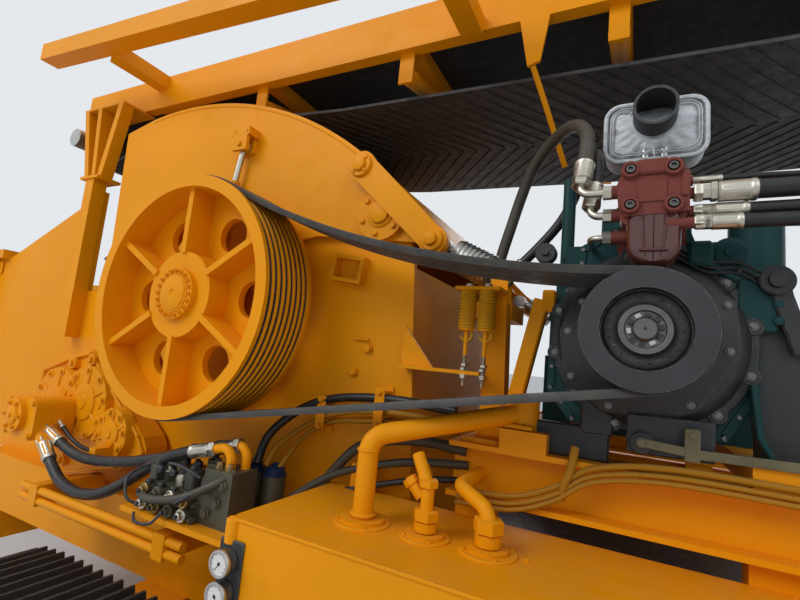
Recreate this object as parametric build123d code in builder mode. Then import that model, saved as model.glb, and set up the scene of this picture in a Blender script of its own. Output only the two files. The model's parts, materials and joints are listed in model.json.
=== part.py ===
from build123d import *
from math import atan2, cos, hypot, pi, radians, sin, tan
import os

os.makedirs("parts", exist_ok=True)

# Tracked horizontal grinder. Millimetres, +X towards the discharge end, +Z up, ground at Z = 0.
# The origin lies on the ground under the middle of the machine.

# Overall sizes
half_width = 1500
seat_gap = 0.3

# Rotor, big sheave and drive pulley, all turning about axes along Y
rotor_x = -500
rotor_z = 1850
drum_radius = 380
drum_half_length = 680
tooth_height = 95
tooth_rows = 6
teeth_per_row = 5
rotor_shaft_radius = 78
sheave_radius = 500
sheave_front_y = -1090
sheave_width = 265
sheave_web_inset = 135
sheave_web_thickness = 30
sheave_rim_thickness = 50
hub_radius = 179
hub_face_inset = 34
hub_length = 190
rib_thickness = 26
web_hole_radius = 75
web_hole_circle = 310
spoke_count = 6
groove_count = 8
groove_pitch = 29
groove_depth = 20
groove_half_top = 12
groove_half_bottom = 5
locking_radius = 107
locking_depth = 22
engine_x = 1194.6
engine_z = 1795
pulley_radius = 149.4
pulley_ring_inner = 100
pulley_width = 240
pulley_recess = 36
crank_radius = 45
crank_end_y = -800

# Side plates of the mill and of the swinging hood
plate_thickness = 25
mill_outer_y = 730
hood_thickness = 15
hood_outer_y = 760
mill_left_x = -1180
mill_right_x = 400
mill_top_z = 2080

# Hood outline above the mill: the crown is one arc, the corners are given in X and Z
hood_pivot_x = 257
hood_pivot_z = 2238
hood_crown_left = (-1327, 2904)
hood_crown_mid = (-427, 2822)
hood_crown_right = (470, 2166)
hood_corner_left = (-1556, 2851)
hood_foot_left = (-1520, 1990)
hood_foot_mid = (-1150, 1990)
hood_seam_start = (-56, 2163)
hood_foot_right = (483, 2115)
hood_nose = (536, 2106)
hood_pin_radius = 35
feed_roller_x = -1360
feed_roller_z = 2110
feed_roller_radius = 330
feed_roller_half_length = 670
feed_shaft_radius = 45
feed_tine_height = 50
feed_tine_count = 8
lift_pin_x = -535
lift_pin_z = 2618
lift_base_x = -640
lift_base_z = 2020
lift_y = 795
lift_barrel_radius = 24
lift_rod_radius = 14
lift_barrel_length = 430
lift_rod_inside = 330
lift_eye_radius = 32
lift_eye_width = 22
lift_pin = 12
arm_top = (158, 2440)
arm_low = (503, 2114)
strut_base = (740, 1995)
strut_y = 685
strut_radius = 58
strut_eye_radius = 38
arm_pin_radius = 22

# Main frame, tracks and infeed
rail_inner_y = 730
rail_outer_y = 815
rail_bottom_z = 600
rail_top_z = 900
rail_left_x = -2350
rail_right_x = 2500
member_bottom_z = 440
member_depth = 160
member_width = 200
member_xs = (-2150, -600, 900, 2300)
axle_xs = (-600, 1500)
eye_reach = 70
eye_radius = 65
eye_bore_radius = 30
eye_thickness = 30
eye_z = 750
shoe_width = 420
track_height = 750
track_left_x = -1350
track_length = 3600
grouser_height = 25
shoe_plate = 20
link_depth = 60
shoe_count = 40
grousers_per_shoe = 3

infeed_left_x = -5400
infeed_inner_y = 700
infeed_wall = 30
infeed_bottom_z = 1100
infeed_wall_top_z = 2109
infeed_peak_x = -1747
infeed_peak_z = 2517
infeed_rise_x = -2737
chain_top_z = 1490
chain_shaft_z = 1340
chain_shaft_x = -1250
infeed_tail_x = -5200

# Folding discharge conveyor
hinge_x = 5300
hinge_z = 2900
ear_radius = 100
pin_radius = 40
fold_slope_deg = 0.4
incline_deg = 33
belly_z = 910
belly_left_x = -1150
beam_outer_y = 660
beam_width = 60
beam_gap = 110
beam_depth = 200
beam_end_inset = 95
ear_thickness = 25
boom_length = 7530
idler_count = 8
idler_first_u = 715
idler_last_inset = 704
idler_pitch = (boom_length - idler_first_u - idler_last_inset) / (idler_count - 1)
drum_radius_belt = 80
drum_inset = 420
head_drum_inset = 120
head_drum_u = boom_length - head_drum_inset
head_v = -48
snub_u = head_drum_u - 410
return_v = 222
head_drum_radius = 105
belt_half_width = 560
belt_thickness = 14

# Engine and its mountings
subframe_web_y = 790
subframe_half_flange = 74
subframe_bottom_z = 1262
subframe_top_z = 1430
subframe_left_x = 650
subframe_right_x = 2350
bell_radius = 230

mill_y = mill_outer_y - plate_thickness
sheave_back_y = sheave_front_y + sheave_width
hood_inner_y = hood_outer_y - hood_thickness
sides = (-1, 1)


def xz_plane(y):
    """Sketch plane facing -Y: sketch x is +X, sketch y is +Z."""
    return Plane(origin=(0, y, 0), x_dir=(1, 0, 0), z_dir=(0, -1, 0))


def bent_tube(points, bends, radius):
    """Round bar along straight runs joined by tangent arcs."""
    start = Vector(*points[0])
    with BuildPart(mode=Mode.PRIVATE) as bent:
        with BuildLine():
            FilletPolyline(*points, radius=bends)
        with BuildSketch(Plane(origin=start, z_dir=Vector(*points[1]) - start)):
            Circle(radius)
        sweep()
    return bent.part


def bar(start, end, radius):
    """Round bar from one point to another."""
    along = Vector(*end) - Vector(*start)
    with BuildPart(mode=Mode.PRIVATE) as straight:
        with BuildSketch(Plane(origin=Vector(*start), z_dir=along)):
            Circle(radius)
        extrude(amount=along.length)
    return straight.part


def beyond(end, beside, length):
    """Point past an end, in line with the point beside it."""
    return tuple(Vector(*end) + (Vector(*end) - Vector(*beside)).normalized() * length)


# Hoses that hang free: outer diameter and the points of the route, from the fixed end
hose_rows = {
    "hose_a": (46, ((-1231, -1010, 1140), (-1144, -1004, 1105), (-1028, -998, 1092), (-880, -992, 1104),
                    (-713, -988, 1134), (-560, -986, 1173), (-420, -985, 1217), (-275, -986, 1262),
                    (-170, -990, 1287))),
    "hose_b": (46, ((-1202, -1056, 1074), (-1127, -1064, 1027), (-1043, -1070, 994), (-939, -1074, 981),
                    (-825, -1074, 991), (-724, -1070, 1026), (-633, -1064, 1077), (-547, -1056, 1136),
                    (-453, -1048, 1196), (-350, -1042, 1242), (-243, -1040, 1268))),
    "hose_c": (20, ((-1300, -972, 1196), (-1243, -968, 1160), (-1176, -965, 1133), (-1104, -963, 1118),
                    (-1040, -963, 1120))),
    "hose_p1": (44, ((1027, -925, 2285), (1032, -898, 2364), (1022, -854, 2436), (980, -760, 2515),
                     (919, -672, 2540), (851, -593, 2521), (790, -534, 2468), (742, -488, 2371),
                     (707, -480, 2248), (677, -480, 2139), (658, -480, 2050))),
    "hose_p2": (38, ((1054, -890, 2228), (1059, -866, 2294), (1054, -825, 2355), (1038, -762, 2405),
                     (1013, -673, 2429), (983, -574, 2402), (948, -506, 2333), (900, -480, 2255),
                     (839, -480, 2180), (776, -482, 2111), (724, -484, 2058))),
}
for name, (diameter, points) in hose_rows.items():
    bends = []
    for before, corner, after in zip(points, points[1:], points[2:]):
        run_in = Vector(*corner) - Vector(*before)
        run_out = Vector(*after) - Vector(*corner)
        half_turn = radians(run_in.get_angle(run_out)) / 2
        bends.append(0.45 * min(run_in.length, run_out.length) / tan(half_turn))
    with BuildLine() as route:
        FilletPolyline(*points, radius=bends)
    hose = bent_tube(points, bends, diameter / 2)
    hose.label = name
    export_step(hose, f"parts/{name}.step")
    length = route.wires()[0].length
    share = hose.volume / (pi / 4 * diameter**2 * length)
    print(name, "radii", [round(bend) for bend in bends], "length", round(length), "volume", round(share, 4))

# Rotor drum with its chopping teeth in staggered rows
with BuildPart() as rotor_drum:
    with BuildSketch(xz_plane(drum_half_length)):
        with Locations((rotor_x, rotor_z)):
            Circle(drum_radius)
            Circle(rotor_shaft_radius + seat_gap, mode=Mode.SUBTRACT)
    extrude(amount=2 * drum_half_length)
    tooth_pitch = 2 * drum_half_length / (teeth_per_row + 1)
    for row in range(tooth_rows):
        row_shift = (row % 2 - 0.5) * tooth_pitch / 2
        for place in range(teeth_per_row):
            tooth_y = (place - (teeth_per_row - 1) / 2) * tooth_pitch + row_shift
            with BuildSketch(xz_plane(tooth_y + 45)):
                with Locations((rotor_x, rotor_z)):
                    with PolarLocations(0, 1, start_angle=row * 360 / tooth_rows):
                        with Locations((drum_radius + tooth_height / 2 - 15, 0)):
                            Rectangle(tooth_height + 30, 70)
            extrude(amount=90)
rotor_drum.part.label = "rotor_drum"
export_step(rotor_drum.part, "parts/rotor_drum.step")

# Rotor shaft through both bearings, with the locking ring's seat at the sheave
shaft_front_y = sheave_front_y + 8
with BuildPart() as rotor_shaft:
    with BuildSketch(xz_plane(930)):
        with Locations((rotor_x, rotor_z)):
            Circle(rotor_shaft_radius)
    extrude(amount=930 - shaft_front_y)
rotor_shaft.part.label = "rotor_shaft"
export_step(rotor_shaft.part, "parts/rotor_shaft.step")

# Big grooved sheave: rim, web with round holes, six ribs and the hub
with BuildPart() as rotor_sheave:
    with BuildSketch(Plane(origin=(rotor_x, 0, rotor_z), x_dir=(1, 0, 0), z_dir=(0, 0, 1))):
        with BuildLine():
            front = sheave_front_y
            first_groove = front + (sheave_width - (groove_count - 1) * groove_pitch) / 2
            rim_points = [(sheave_radius - sheave_rim_thickness, front), (sheave_radius, front)]
            for groove in range(groove_count):
                groove_y = first_groove + groove * groove_pitch
                floor_radius = sheave_radius - groove_depth
                rim_points += [
                    (sheave_radius, groove_y - groove_half_top),
                    (floor_radius, groove_y - groove_half_bottom),
                    (floor_radius, groove_y + groove_half_bottom),
                    (sheave_radius, groove_y + groove_half_top),
                ]
            rim_points += [
                (sheave_radius, sheave_back_y),
                (sheave_radius - sheave_rim_thickness, sheave_back_y),
            ]
            Polyline(*rim_points, close=True)
        make_face()
        with Locations(((sheave_radius - sheave_rim_thickness + hub_radius) / 2,
                        front + sheave_web_inset + sheave_web_thickness / 2)):
            Rectangle(sheave_radius - sheave_rim_thickness - hub_radius + 20, sheave_web_thickness)
        hub_bore = rotor_shaft_radius + seat_gap
        with Locations(((hub_bore + hub_radius) / 2, front + hub_face_inset + hub_length / 2)):
            Rectangle(hub_radius - hub_bore, hub_length)
    revolve(axis=Axis((rotor_x, 0, rotor_z), (0, 1, 0)))
    with BuildSketch(xz_plane(front + sheave_web_inset)):
        with Locations((rotor_x, rotor_z)):
            with PolarLocations((sheave_radius - sheave_rim_thickness + hub_radius) / 2, spoke_count,
                                start_angle=30):
                Rectangle(sheave_radius - sheave_rim_thickness - hub_radius + 12, rib_thickness)
    extrude(amount=sheave_web_inset - 25)
    with BuildSketch(xz_plane(front + sheave_web_inset + sheave_web_thickness)):
        with Locations((rotor_x, rotor_z)):
            with PolarLocations(web_hole_circle, spoke_count):
                Circle(web_hole_radius)
    extrude(amount=sheave_web_thickness, mode=Mode.SUBTRACT)
rotor_sheave.part.label = "rotor_sheave"
export_step(rotor_sheave.part, "parts/rotor_sheave.step")

# Locking ring pressed between hub and shaft
with BuildPart() as locking_ring:
    with BuildSketch(xz_plane(sheave_front_y + hub_face_inset)):
        with Locations((rotor_x, rotor_z)):
            Circle(locking_radius)
            Circle(rotor_shaft_radius + seat_gap, mode=Mode.SUBTRACT)
    extrude(amount=locking_depth)
locking_ring.part.label = "locking_ring"
export_step(locking_ring.part, "parts/locking_ring.step")

# Drive pulley on the clutch shaft, with the same grooves as the sheave
with BuildPart() as drive_pulley:
    with BuildSketch(Plane(origin=(engine_x, 0, engine_z), x_dir=(1, 0, 0), z_dir=(0, 0, 1))):
        with BuildLine():
            pulley_back_y = sheave_front_y + pulley_width
            pulley_points = [(0, sheave_front_y + 14), (30, sheave_front_y + 14),
                             (30, sheave_front_y + pulley_recess),
                             (pulley_ring_inner, sheave_front_y + pulley_recess),
                             (pulley_ring_inner, sheave_front_y), (pulley_radius, sheave_front_y)]
            for groove in range(groove_count):
                groove_y = first_groove + groove * groove_pitch
                if groove_y + groove_half_top < pulley_back_y:
                    pulley_points += [
                        (pulley_radius, groove_y - groove_half_top),
                        (pulley_radius - groove_depth, groove_y - groove_half_bottom),
                        (pulley_radius - groove_depth, groove_y + groove_half_bottom),
                        (pulley_radius, groove_y + groove_half_top),
                    ]
            pulley_points += [(pulley_radius, pulley_back_y), (crank_radius, pulley_back_y),
                              (crank_radius, crank_end_y), (0, crank_end_y)]
            Polyline(*pulley_points, close=True)
        make_face()
    revolve(axis=Axis((engine_x, 0, engine_z), (0, 1, 0)))
drive_pulley.part.label = "drive_pulley"
export_step(drive_pulley.part, "parts/drive_pulley.step")

# V-belts round both grooved wheels: the lower strand is taut, the upper one hangs slack as an arc
# that touches the pulley at its top and the sheave on the side towards the engine
belt_front_y = first_groove - groove_half_top + 1
belt_back_y = first_groove + (groove_count - 1) * groove_pitch + groove_half_top - 1
belt_depth = 8
belt_dx = engine_x - rotor_x
belt_dz = engine_z - rotor_z
centre_run = hypot(belt_dx, belt_dz)
inner_big = sheave_radius + seat_gap
inner_small = pulley_radius + seat_gap
slack_drop = belt_dz + inner_small
slack_radius = (belt_dx**2 + slack_drop**2 - inner_big**2) / (2 * (inner_big - slack_drop))
slack_turn = atan2(slack_drop + slack_radius, belt_dx)
slack_centre = (engine_x, rotor_z + slack_drop + slack_radius)
taut_turn = atan2(belt_dz, belt_dx) - pi / 2 + atan2(inner_big - inner_small, centre_run)
with BuildPart() as drive_belts:
    with BuildSketch(xz_plane(belt_back_y)):
        for depth in (belt_depth, 0):
            big = inner_big + depth
            small = inner_small + depth
            slack = slack_radius - depth
            big_top = (rotor_x + big * cos(slack_turn), rotor_z + big * sin(slack_turn))
            big_low = (rotor_x + big * cos(taut_turn), rotor_z + big * sin(taut_turn))
            small_top = (engine_x, engine_z + small)
            small_low = (engine_x + small * cos(taut_turn), engine_z + small * sin(taut_turn))
            middle_turn = -pi / 2 - (pi / 2 - slack_turn) / 2
            slack_middle = (slack_centre[0] + slack * cos(middle_turn),
                            slack_centre[1] + slack * sin(middle_turn))
            with BuildLine():
                Line(big_low, small_low)
                ThreePointArc(small_low, (engine_x + small, engine_z), small_top)
                ThreePointArc(small_top, slack_middle, big_top)
                ThreePointArc(big_top, (rotor_x - big, rotor_z), big_low)
            make_face(mode=Mode.ADD if depth else Mode.SUBTRACT)
    extrude(amount=belt_back_y - belt_front_y)
drive_belts.part.label = "drive_belts"
export_step(drive_belts.part, "parts/drive_belts.step")

# Mill housing: two side plates, the wall towards the engine and the anvil beam at the infeed
bearing_hole_radius = rotor_shaft_radius + 25
with BuildPart() as mill_box:
    for side in sides:
        outer = mill_outer_y if side > 0 else -mill_y
        with BuildSketch(xz_plane(outer)):
            with BuildLine():
                Polyline((mill_left_x, rail_bottom_z), (mill_right_x + 120, rail_bottom_z),
                         (mill_right_x + 60, 1300), (mill_right_x, mill_top_z),
                         (340, 2240), (170, 2290), (-1000, 2350), (mill_left_x, 2150), close=True)
            make_face()
            with Locations((rotor_x, rotor_z)):
                Circle(bearing_hole_radius, mode=Mode.SUBTRACT)
        extrude(amount=plate_thickness)
        pin_end = hood_outer_y + 21 if side > 0 else -mill_outer_y
        with BuildSketch(xz_plane(pin_end)):
            with Locations((hood_pivot_x, hood_pivot_z)):
                Circle(hood_pin_radius)
        extrude(amount=hood_outer_y + 21 - mill_outer_y)
    with BuildSketch(xz_plane(mill_y)):
        with BuildLine():
            Polyline((mill_right_x + 30, 1000), (mill_right_x + 60, 1000), (mill_right_x + 20, 1700),
                     (mill_right_x - 20, mill_top_z - 40), (mill_right_x - 50, mill_top_z - 40),
                     (mill_right_x - 10, 1700), close=True)
        make_face()
        with Locations((-1130, 1120)):
            Rectangle(100, 120)
    extrude(amount=2 * mill_y)
    with BuildSketch(xz_plane(-mill_outer_y)):
        with Locations((120, 2016)):
            Rectangle(150, 110, rotation=-8)
            Rectangle(118, 78, rotation=-8, mode=Mode.SUBTRACT)
    extrude(amount=45)
mill_box.part.label = "mill_box"
export_step(mill_box.part, "parts/mill_box.step")

# Bearing housings of the rotor on the outer faces of the mill plates
with BuildPart() as rotor_bearings:
    for side in sides:
        near = mill_outer_y + 80 if side > 0 else -mill_outer_y
        with BuildSketch(xz_plane(near)):
            with Locations((rotor_x, rotor_z)):
                Rectangle(420, 240)
                Circle(150)
                Circle(rotor_shaft_radius + seat_gap, mode=Mode.SUBTRACT)
        extrude(amount=80)
rotor_bearings.part.label = "rotor_bearings"
export_step(rotor_bearings.part, "parts/rotor_bearings.step")

# Curved screen under the rotor, with round holes, seated between the mill plates
screen_radius = drum_radius + tooth_height + 25
screen_hole_radius = 45
screen_hole_pitch = 215
screen_holes_per_row = 6
with BuildPart() as screen_basket:
    with BuildSketch(xz_plane(mill_y)):
        with BuildLine():
            low = radians(205)
            high = radians(335)
            for radius in (screen_radius, screen_radius + 30):
                ThreePointArc((rotor_x + radius * cos(low), rotor_z + radius * sin(low)),
                              (rotor_x, rotor_z - radius),
                              (rotor_x + radius * cos(high), rotor_z + radius * sin(high)))
            Line((rotor_x + screen_radius * cos(low), rotor_z + screen_radius * sin(low)),
                 (rotor_x + (screen_radius + 30) * cos(low), rotor_z + (screen_radius + 30) * sin(low)))
            Line((rotor_x + screen_radius * cos(high), rotor_z + screen_radius * sin(high)),
                 (rotor_x + (screen_radius + 30) * cos(high), rotor_z + (screen_radius + 30) * sin(high)))
        make_face()
    extrude(amount=2 * mill_y)
    for turn_deg in range(222, 330, 24):
        turn = radians(turn_deg)
        seat = Plane(origin=(rotor_x, 0, rotor_z), x_dir=(0, 1, 0), z_dir=(cos(turn), 0, sin(turn)))
        with BuildSketch(seat):
            with GridLocations(screen_hole_pitch, 1, screen_holes_per_row, 1):
                Circle(screen_hole_radius)
        extrude(amount=screen_radius + 60, mode=Mode.SUBTRACT)
screen_basket.part.label = "screen_basket"
export_step(screen_basket.part, "parts/screen_basket.step")

# Swinging hood: two side plates under one arched crown, with the pivot discs
with BuildPart() as hood_shell:
    for side in sides:
        outer = hood_outer_y if side > 0 else -hood_inner_y
        with BuildSketch(xz_plane(outer)):
            with BuildLine():
                Polyline(hood_crown_left, hood_corner_left, hood_foot_left, hood_foot_mid,
                         hood_seam_start, hood_foot_right, hood_nose, hood_crown_right)
                ThreePointArc(hood_crown_right, hood_crown_mid, hood_crown_left)
            make_face()
            with Locations(arm_low):
                Circle(2 * arm_pin_radius)
            with Locations((hood_pivot_x, hood_pivot_z)):
                Circle(hood_pin_radius + seat_gap, mode=Mode.SUBTRACT)
            with Locations((feed_roller_x, feed_roller_z)):
                Circle(feed_shaft_radius + seat_gap, mode=Mode.SUBTRACT)
            with Locations(arm_low):
                Circle(arm_pin_radius + seat_gap, mode=Mode.SUBTRACT)
        extrude(amount=hood_thickness)
    with BuildSketch(xz_plane(hood_outer_y)):
        with BuildLine():
            ThreePointArc(hood_crown_right, hood_crown_mid, hood_crown_left)
            Polyline(hood_crown_left, hood_corner_left, (hood_corner_left[0] + 4, hood_corner_left[1] - 16),
                     (hood_crown_left[0] + 4, hood_crown_left[1] - 14))
            ThreePointArc((hood_crown_left[0] + 4, hood_crown_left[1] - 14),
                          (hood_crown_mid[0] - 4, hood_crown_mid[1] - 15),
                          (hood_crown_right[0] - 11, hood_crown_right[1] - 10))
            Line((hood_crown_right[0] - 11, hood_crown_right[1] - 10), hood_crown_right)
        make_face()
    extrude(amount=2 * hood_outer_y)
    for side in sides:
        outer = hood_outer_y + 22 if side > 0 else -hood_outer_y
        with BuildSketch(xz_plane(outer)):
            with Locations((hood_pivot_x, hood_pivot_z)):
                Circle(110)
                Circle(hood_pin_radius + seat_gap, mode=Mode.SUBTRACT)
            with Locations((feed_roller_x, feed_roller_z)):
                Circle(95)
                Circle(feed_shaft_radius + seat_gap, mode=Mode.SUBTRACT)
        extrude(amount=22)
hood_shell.part.label = "hood_shell"
export_step(hood_shell.part, "parts/hood_shell.step")

# Lever arms on the hood, one on each side, with a boss at both ends
with BuildPart() as hood_arms:
    for side in sides:
        outer = hood_outer_y + 47 if side > 0 else -hood_outer_y - 22
        with BuildSketch(xz_plane(outer)):
            with Locations(arm_top):
                Circle(62)
            with Locations(arm_low):
                Circle(55)
            with BuildLine():
                arm_turn = atan2(arm_low[1] - arm_top[1], arm_low[0] - arm_top[0])
                nx = -sin(arm_turn)
                nz = cos(arm_turn)
                Polyline((arm_top[0] + 58 * nx, arm_top[1] + 58 * nz),
                         (arm_low[0] + 50 * nx, arm_low[1] + 50 * nz),
                         (arm_low[0] - 50 * nx, arm_low[1] - 50 * nz),
                         (arm_top[0] - 58 * nx, arm_top[1] - 58 * nz), close=True)
            make_face()
        extrude(amount=25)
        bolt_end = hood_outer_y + 22 if side > 0 else -hood_outer_y
        with BuildSketch(xz_plane(bolt_end)):
            with Locations(arm_top):
                Circle(40)
        extrude(amount=22)
        pin_start = hood_outer_y + 22 if side > 0 else -strut_y - 30
        with BuildSketch(xz_plane(pin_start)):
            with Locations(arm_low):
                Circle(arm_pin_radius)
        extrude(amount=hood_outer_y + 22 - strut_y - 30)
hood_arms.part.label = "hood_arms"
export_step(hood_arms.part, "parts/hood_arms.step")

# Clevis brackets for the lift cylinders: two ears under a block, on the hood plates
ear_inner_start = hood_outer_y
ear_outer_start = lift_y + lift_eye_width / 2 + 5
with BuildPart() as lift_brackets:
    for side in sides:
        near = ear_outer_start + 19 if side > 0 else -ear_inner_start
        with BuildSketch(xz_plane(near)):
            with Locations((lift_pin_x, lift_pin_z + 64)):
                Rectangle(110, 40)
        extrude(amount=ear_outer_start + 19 - ear_inner_start)
        inner_faces = (ear_inner_start, lift_y - lift_eye_width / 2 - 5)
        ear_faces = inner_faces, (ear_outer_start, ear_outer_start + 19)
        for ear_near, ear_far in ear_faces:
            with BuildSketch(xz_plane(ear_far if side > 0 else -ear_near)):
                with Locations((lift_pin_x, lift_pin_z + 10)):
                    Rectangle(90, 80)
            extrude(amount=ear_far - ear_near)
lift_brackets.part.label = "lift_brackets"
export_step(lift_brackets.part, "parts/lift_brackets.step")

# Feed roller with rows of tines on its drum, hung in the hood plates
with BuildPart() as feed_roller:
    with BuildSketch(xz_plane(feed_roller_half_length)):
        with Locations((feed_roller_x, feed_roller_z)):
            Circle(feed_roller_radius)
            with PolarLocations(feed_roller_radius, feed_tine_count):
                Polygon((-20, -45), (feed_tine_height, 0), (-20, 45), align=None)
            Circle(feed_shaft_radius + seat_gap, mode=Mode.SUBTRACT)
    extrude(amount=2 * feed_roller_half_length)
    with BuildSketch(xz_plane(hood_outer_y + 15)):
        with Locations((feed_roller_x, feed_roller_z)):
            Circle(feed_shaft_radius)
    extrude(amount=2 * hood_outer_y + 30)
feed_roller.part.label = "feed_roller"
export_step(feed_roller.part, "parts/feed_roller.step")

# Lift cylinders: barrels on base pins of the mill plates, rods up to the hood brackets
lift_run = hypot(lift_pin_x - lift_base_x, lift_pin_z - lift_base_z)
lift_dir = ((lift_pin_x - lift_base_x) / lift_run, 0, (lift_pin_z - lift_base_z) / lift_run)
with BuildPart() as lift_barrels:
    for side in sides:
        base = Plane(origin=(lift_base_x, side * lift_y, lift_base_z), z_dir=lift_dir)
        with BuildSketch(base.offset(30)):
            Circle(lift_barrel_radius)
        extrude(amount=lift_barrel_length - 30)
        with BuildSketch(xz_plane(side * lift_y + lift_eye_width / 2)):
            with Locations((lift_base_x, lift_base_z)):
                Circle(lift_eye_radius)
        extrude(amount=lift_eye_width)
        with BuildSketch(xz_plane(side * lift_y + lift_eye_width)):
            with Locations((lift_base_x, lift_base_z)):
                Circle(lift_pin + seat_gap)
        extrude(amount=2 * lift_eye_width, mode=Mode.SUBTRACT)
        with BuildSketch(base.offset(lift_barrel_length - lift_rod_inside - 10)):
            Circle(lift_rod_radius + seat_gap)
        extrude(amount=lift_rod_inside + 20, mode=Mode.SUBTRACT)
lift_barrels.part.label = "lift_barrels"
export_step(lift_barrels.part, "parts/lift_barrels.step")

with BuildPart() as lift_rods:
    for side in sides:
        base = Plane(origin=(lift_base_x, side * lift_y, lift_base_z), z_dir=lift_dir)
        with BuildSketch(base.offset(lift_barrel_length - lift_rod_inside)):
            Circle(lift_rod_radius)
        extrude(amount=lift_run - lift_barrel_length + lift_rod_inside - lift_eye_radius / 2)
        with BuildSketch(xz_plane(side * lift_y + lift_eye_width / 2)):
            with Locations((lift_pin_x, lift_pin_z)):
                Circle(lift_eye_radius)
        extrude(amount=lift_eye_width)
lift_rods.part.label = "lift_rods"
export_step(lift_rods.part, "parts/lift_rods.step")

# Base pins of the lift cylinders, standing out of the mill plates
with BuildPart() as lift_pins:
    for side in sides:
        head = lift_y + lift_eye_width / 2 + 8
        with BuildSketch(xz_plane(head if side > 0 else -mill_outer_y)):
            with Locations((lift_base_x, lift_base_z)):
                Circle(lift_pin)
        extrude(amount=head - mill_outer_y)
        boss = lift_y - lift_eye_width / 2 - 5
        with BuildSketch(xz_plane(boss if side > 0 else -mill_outer_y)):
            with Locations((lift_base_x, lift_base_z)):
                Circle(30)
        extrude(amount=boss - mill_outer_y)
lift_pins.part.label = "lift_pins"
export_step(lift_pins.part, "parts/lift_pins.step")

# Spring struts from the frame posts to the arm pins
strut_run = hypot(strut_base[0] - arm_low[0], strut_base[1] - arm_low[1])
strut_dir = ((arm_low[0] - strut_base[0]) / strut_run, 0, (arm_low[1] - strut_base[1]) / strut_run)
with BuildPart() as spring_struts:
    for side in sides:
        base = Plane(origin=(strut_base[0], side * strut_y, strut_base[1]), z_dir=strut_dir)
        with BuildSketch(base.offset(30)):
            Circle(20)
        extrude(amount=strut_run - 30 - 20)
        with BuildSketch(base.offset(48)):
            Circle(strut_radius)
        extrude(amount=strut_run - 48 - 60)
        for eye, half_width_eye in ((strut_base, 20), (arm_low, 30 - seat_gap)):
            with BuildSketch(xz_plane(side * strut_y + half_width_eye)):
                with Locations(eye):
                    Circle(strut_eye_radius)
            extrude(amount=2 * half_width_eye)
        with BuildSketch(xz_plane(side * strut_y + 30)):
            with Locations(strut_base):
                Circle(20 + seat_gap)
        extrude(amount=60, mode=Mode.SUBTRACT)
spring_struts.part.label = "spring_struts"
export_step(spring_struts.part, "parts/spring_struts.step")

# Posts of the spring struts on the engine subframe, each with two ears and a pin; the near one
# carries the port block of two hoses and the pair of coil springs on their threaded rods
port_block_top = 1910
port_elbows = []
for name, fitting_radius, fitting_reach in (("hose_p1", 25, 45), ("hose_p2", 22, 22)):
    beside, end = hose_rows[name][1][-2:]
    corner = beyond(end, beside, fitting_reach)
    port = (corner[0], corner[1], port_block_top)
    port_elbows.append(bent_tube((end, corner, port), 35, fitting_radius))
with BuildPart() as strut_posts:
    for side in sides:
        for ear_y in (strut_y - 28, strut_y + 28):
            with BuildSketch(xz_plane(side * ear_y + 6)):
                with BuildLine():
                    Polyline((strut_base[0] - 30, 1900), (strut_base[0] + 30, 1900),
                             (strut_base[0] + 30, strut_base[1] + 30),
                             (strut_base[0] - 30, strut_base[1] + 30), close=True)
                make_face()
            extrude(amount=12)
        with BuildSketch(xz_plane(side * strut_y + 34)):
            with BuildLine():
                Polyline((strut_base[0] - 45, subframe_top_z), (strut_base[0] + 45, subframe_top_z),
                         (strut_base[0] + 30, 1900), (strut_base[0] - 30, 1900), close=True)
            make_face()
        extrude(amount=68)
        with BuildSketch(xz_plane(side * strut_y + 34)):
            with Locations(strut_base):
                Circle(20)
        extrude(amount=68)
        with BuildSketch(Plane.XY.offset(subframe_top_z)):
            with Locations((strut_base[0], side * (strut_y + 60))):
                Rectangle(120, 180)
        extrude(amount=14)
    spring_y = -790
    post_face_y = -strut_y - 34
    with BuildSketch(Plane.XY.offset(1640)):
        with Locations((558, (spring_y - 10 - mill_outer_y) / 2)):
            Rectangle(306, 10 - spring_y - mill_outer_y)
    extrude(amount=12)
    with BuildSketch(xz_plane(-mill_outer_y - 28)):
        Polygon((405, 1652), (530, 1652), (405, 1800), align=None)
    extrude(amount=12)
    with BuildSketch(Plane.XY.offset(1930)):
        with Locations((690, (spring_y - 25 + post_face_y) / 2)):
            Rectangle(160, post_face_y - spring_y + 25)
    extrude(amount=12)
    for rod_x in (655, 722):
        with BuildSketch(Plane.XY.offset(1790)):
            with Locations((rod_x, spring_y)):
                Circle(26)
        extrude(amount=140)
        with BuildSketch(Plane.XY.offset(1600)):
            with Locations((rod_x, spring_y)):
                Circle(7)
        extrude(amount=190)
    with BuildSketch(Plane.XY.offset(port_block_top - 60)):
        with Locations((698, (34 - strut_y - 450) / 2)):
            Rectangle(150, strut_y - 34 - 450)
    extrude(amount=60)
    for elbow in port_elbows:
        add(elbow)
strut_posts.part.label = "strut_posts"
export_step(strut_posts.part, "parts/strut_posts.step")

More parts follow.
